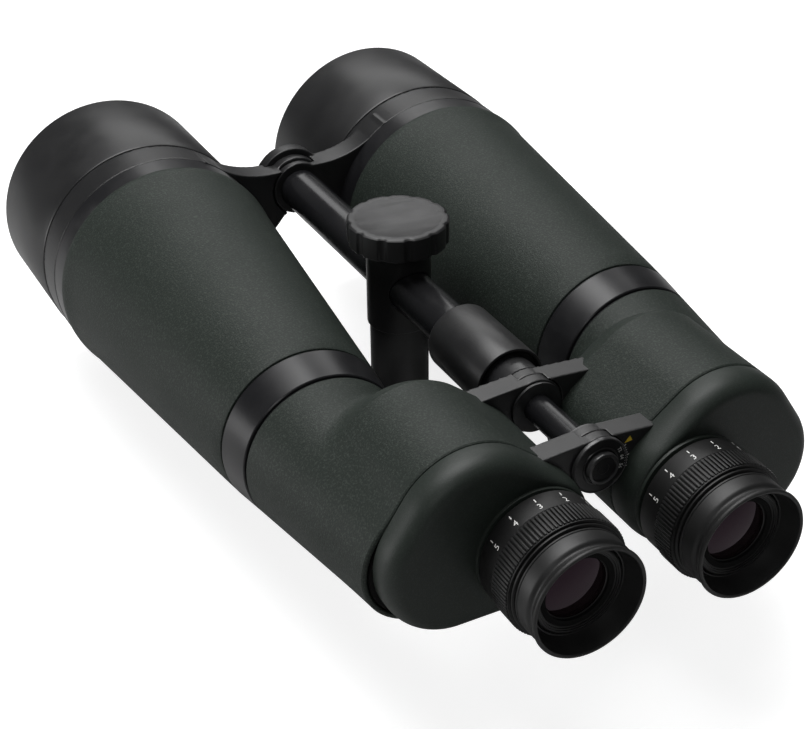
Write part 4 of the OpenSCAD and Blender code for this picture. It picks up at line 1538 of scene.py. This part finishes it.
@dataclass
class Softbox:
    """A rectangular studio light that looks at a point."""

    name: str
    place: tuple[float, float, float]
    aim: tuple[float, float, float]
    size: tuple[float, float]
    power: float

    def hang(self) -> None:
        """Adds the light."""
        Bench.clear()
        bpy.ops.object.light_add(type="AREA", location=self.place)
        lamp = bpy.context.object
        lamp.name = self.name
        lamp.data.shape = "RECTANGLE"
        lamp.data.size, lamp.data.size_y = self.size
        lamp.data.energy = self.power
        lamp.rotation_euler = (Vector(self.aim) - Vector(self.place)).to_track_quat("-Z", "Y").to_euler()


@dataclass
class Studio:
    """Camera, lights and the pale floor."""

    eye: tuple[float, float, float] = (-0.28494, -0.55697, 0.42194)
    azimuth: float = -27.277
    elevation: float = 31.811
    roll: float = -0.673
    lens: float = 75.69
    floor_size: float = 14.0
    floor_drop: float = 20 * MM
    floor_glow: float = 0.82
    room: Colour = (0.10, 0.10, 0.102)

    def build(self) -> None:
        """Sets up the studio."""
        self.camera()
        self.floor()
        self.sky()
        for lamp in (
            Softbox("overhead_box", (-0.1, 0.2, 1.1), (0.0, 0.0, 0.05), (0.9, 0.7), 14.0),
            Softbox("back_box", (0.55, 1.15, 0.95), (0.0, 0.0, 0.05), (1.0, 0.5), 3.8),
            Softbox("left_box", (-1.1, 0.35, 0.12), (-0.05, 0.0, 0.05), (0.5, 0.35), 3.6),
            Softbox("front_box", (-0.75, -1.0, 1.0), (0.0, -0.1, 0.05), (0.5, 0.3), 1.8),
        ):
            lamp.hang()

    def camera(self) -> None:
        """The camera, with its depth of field off."""
        a, e, r = (math.radians(v) for v in (self.azimuth, self.elevation, self.roll))
        forward = Vector((-math.sin(a) * math.cos(e), math.cos(a) * math.cos(e), -math.sin(e)))
        level = Vector((math.cos(a), math.sin(a), 0.0))
        upright = level.cross(forward)
        right = math.cos(r) * level + math.sin(r) * upright
        top = math.cos(r) * upright - math.sin(r) * level
        Bench.clear()
        bpy.ops.object.camera_add()
        camera = bpy.context.object
        camera.name = "studio_camera"
        turned = Matrix((right, top, -forward)).transposed().to_4x4()
        camera.matrix_world = Matrix.Translation(self.eye) @ turned
        camera.data.lens = self.lens
        camera.data.sensor_width = 36.0
        camera.data.clip_start, camera.data.clip_end = 0.01, 50.0
        bpy.context.scene.camera = camera

    def floor(self) -> None:
        """The plain pale floor, low enough for both halves to fold down over it."""
        Bench.clear()
        height = CAD_BOX[0].z - self.floor_drop
        bpy.ops.mesh.primitive_plane_add(size=self.floor_size, location=(0, 0, height))
        floor = bpy.context.object
        floor.name = "studio_floor"
        Bench.settle(floor)
        material = bpy.data.materials.new("pale_floor")
        material.use_nodes = True
        wire = Wiring(material.node_tree)
        shader = material.node_tree.nodes["Principled BSDF"]
        wire.link(wire.mixed(wire.noise(3.0), grey(0.50), grey(0.52)), shader.inputs["Base Color"])
        shader.inputs["Roughness"].default_value = 0.9
        shader.inputs["Specular IOR Level"].default_value = 0.1
        glow = wire.add("ShaderNodeEmission")
        glow.inputs["Color"].default_value = (1, 1, 1, 1)
        glow.inputs["Strength"].default_value = self.floor_glow
        seen, chosen = wire.add("ShaderNodeAddShader"), wire.add("ShaderNodeMixShader")
        wire.link(shader.outputs[0], seen.inputs[0])
        wire.link(glow.outputs[0], seen.inputs[1])
        wire.link(wire.add("ShaderNodeLightPath").outputs["Is Camera Ray"], chosen.inputs[0])
        wire.link(shader.outputs[0], chosen.inputs[1])
        wire.link(seen.outputs[0], chosen.inputs[2])
        wire.link(chosen.outputs[0], material.node_tree.nodes["Material Output"].inputs["Surface"])
        floor.data.materials.append(material)

    def sky(self) -> None:
        """A dim even room light that the camera sees as white."""
        world = bpy.data.worlds.new("studio_room")
        bpy.context.scene.world = world
        world.use_nodes = True
        wire = Wiring(world.node_tree)
        seen = wire.add("ShaderNodeLightPath").outputs["Is Camera Ray"]
        shown = wire.mixed(seen, self.room, grey(1.0))
        wire.link(shown, world.node_tree.nodes["Background"].inputs["Color"])
        bpy.context.scene.view_settings.view_transform = "Standard"


def main() -> None:
    """Builds the instrument half by half, then the parts on the centre line and the studio."""
    logging.basicConfig(level=logging.INFO, format="%(relativeCreated)7.0f ms  %(message)s")
    for side in Side:
        for assembly in (ObjectiveEnd, Barrel, PrismHousing, Eyepiece):
            assembly(side).build()
    CentreBar().build()
    ClampPost().build()
    Studio().build()


if __name__ == "__main__":
    main()
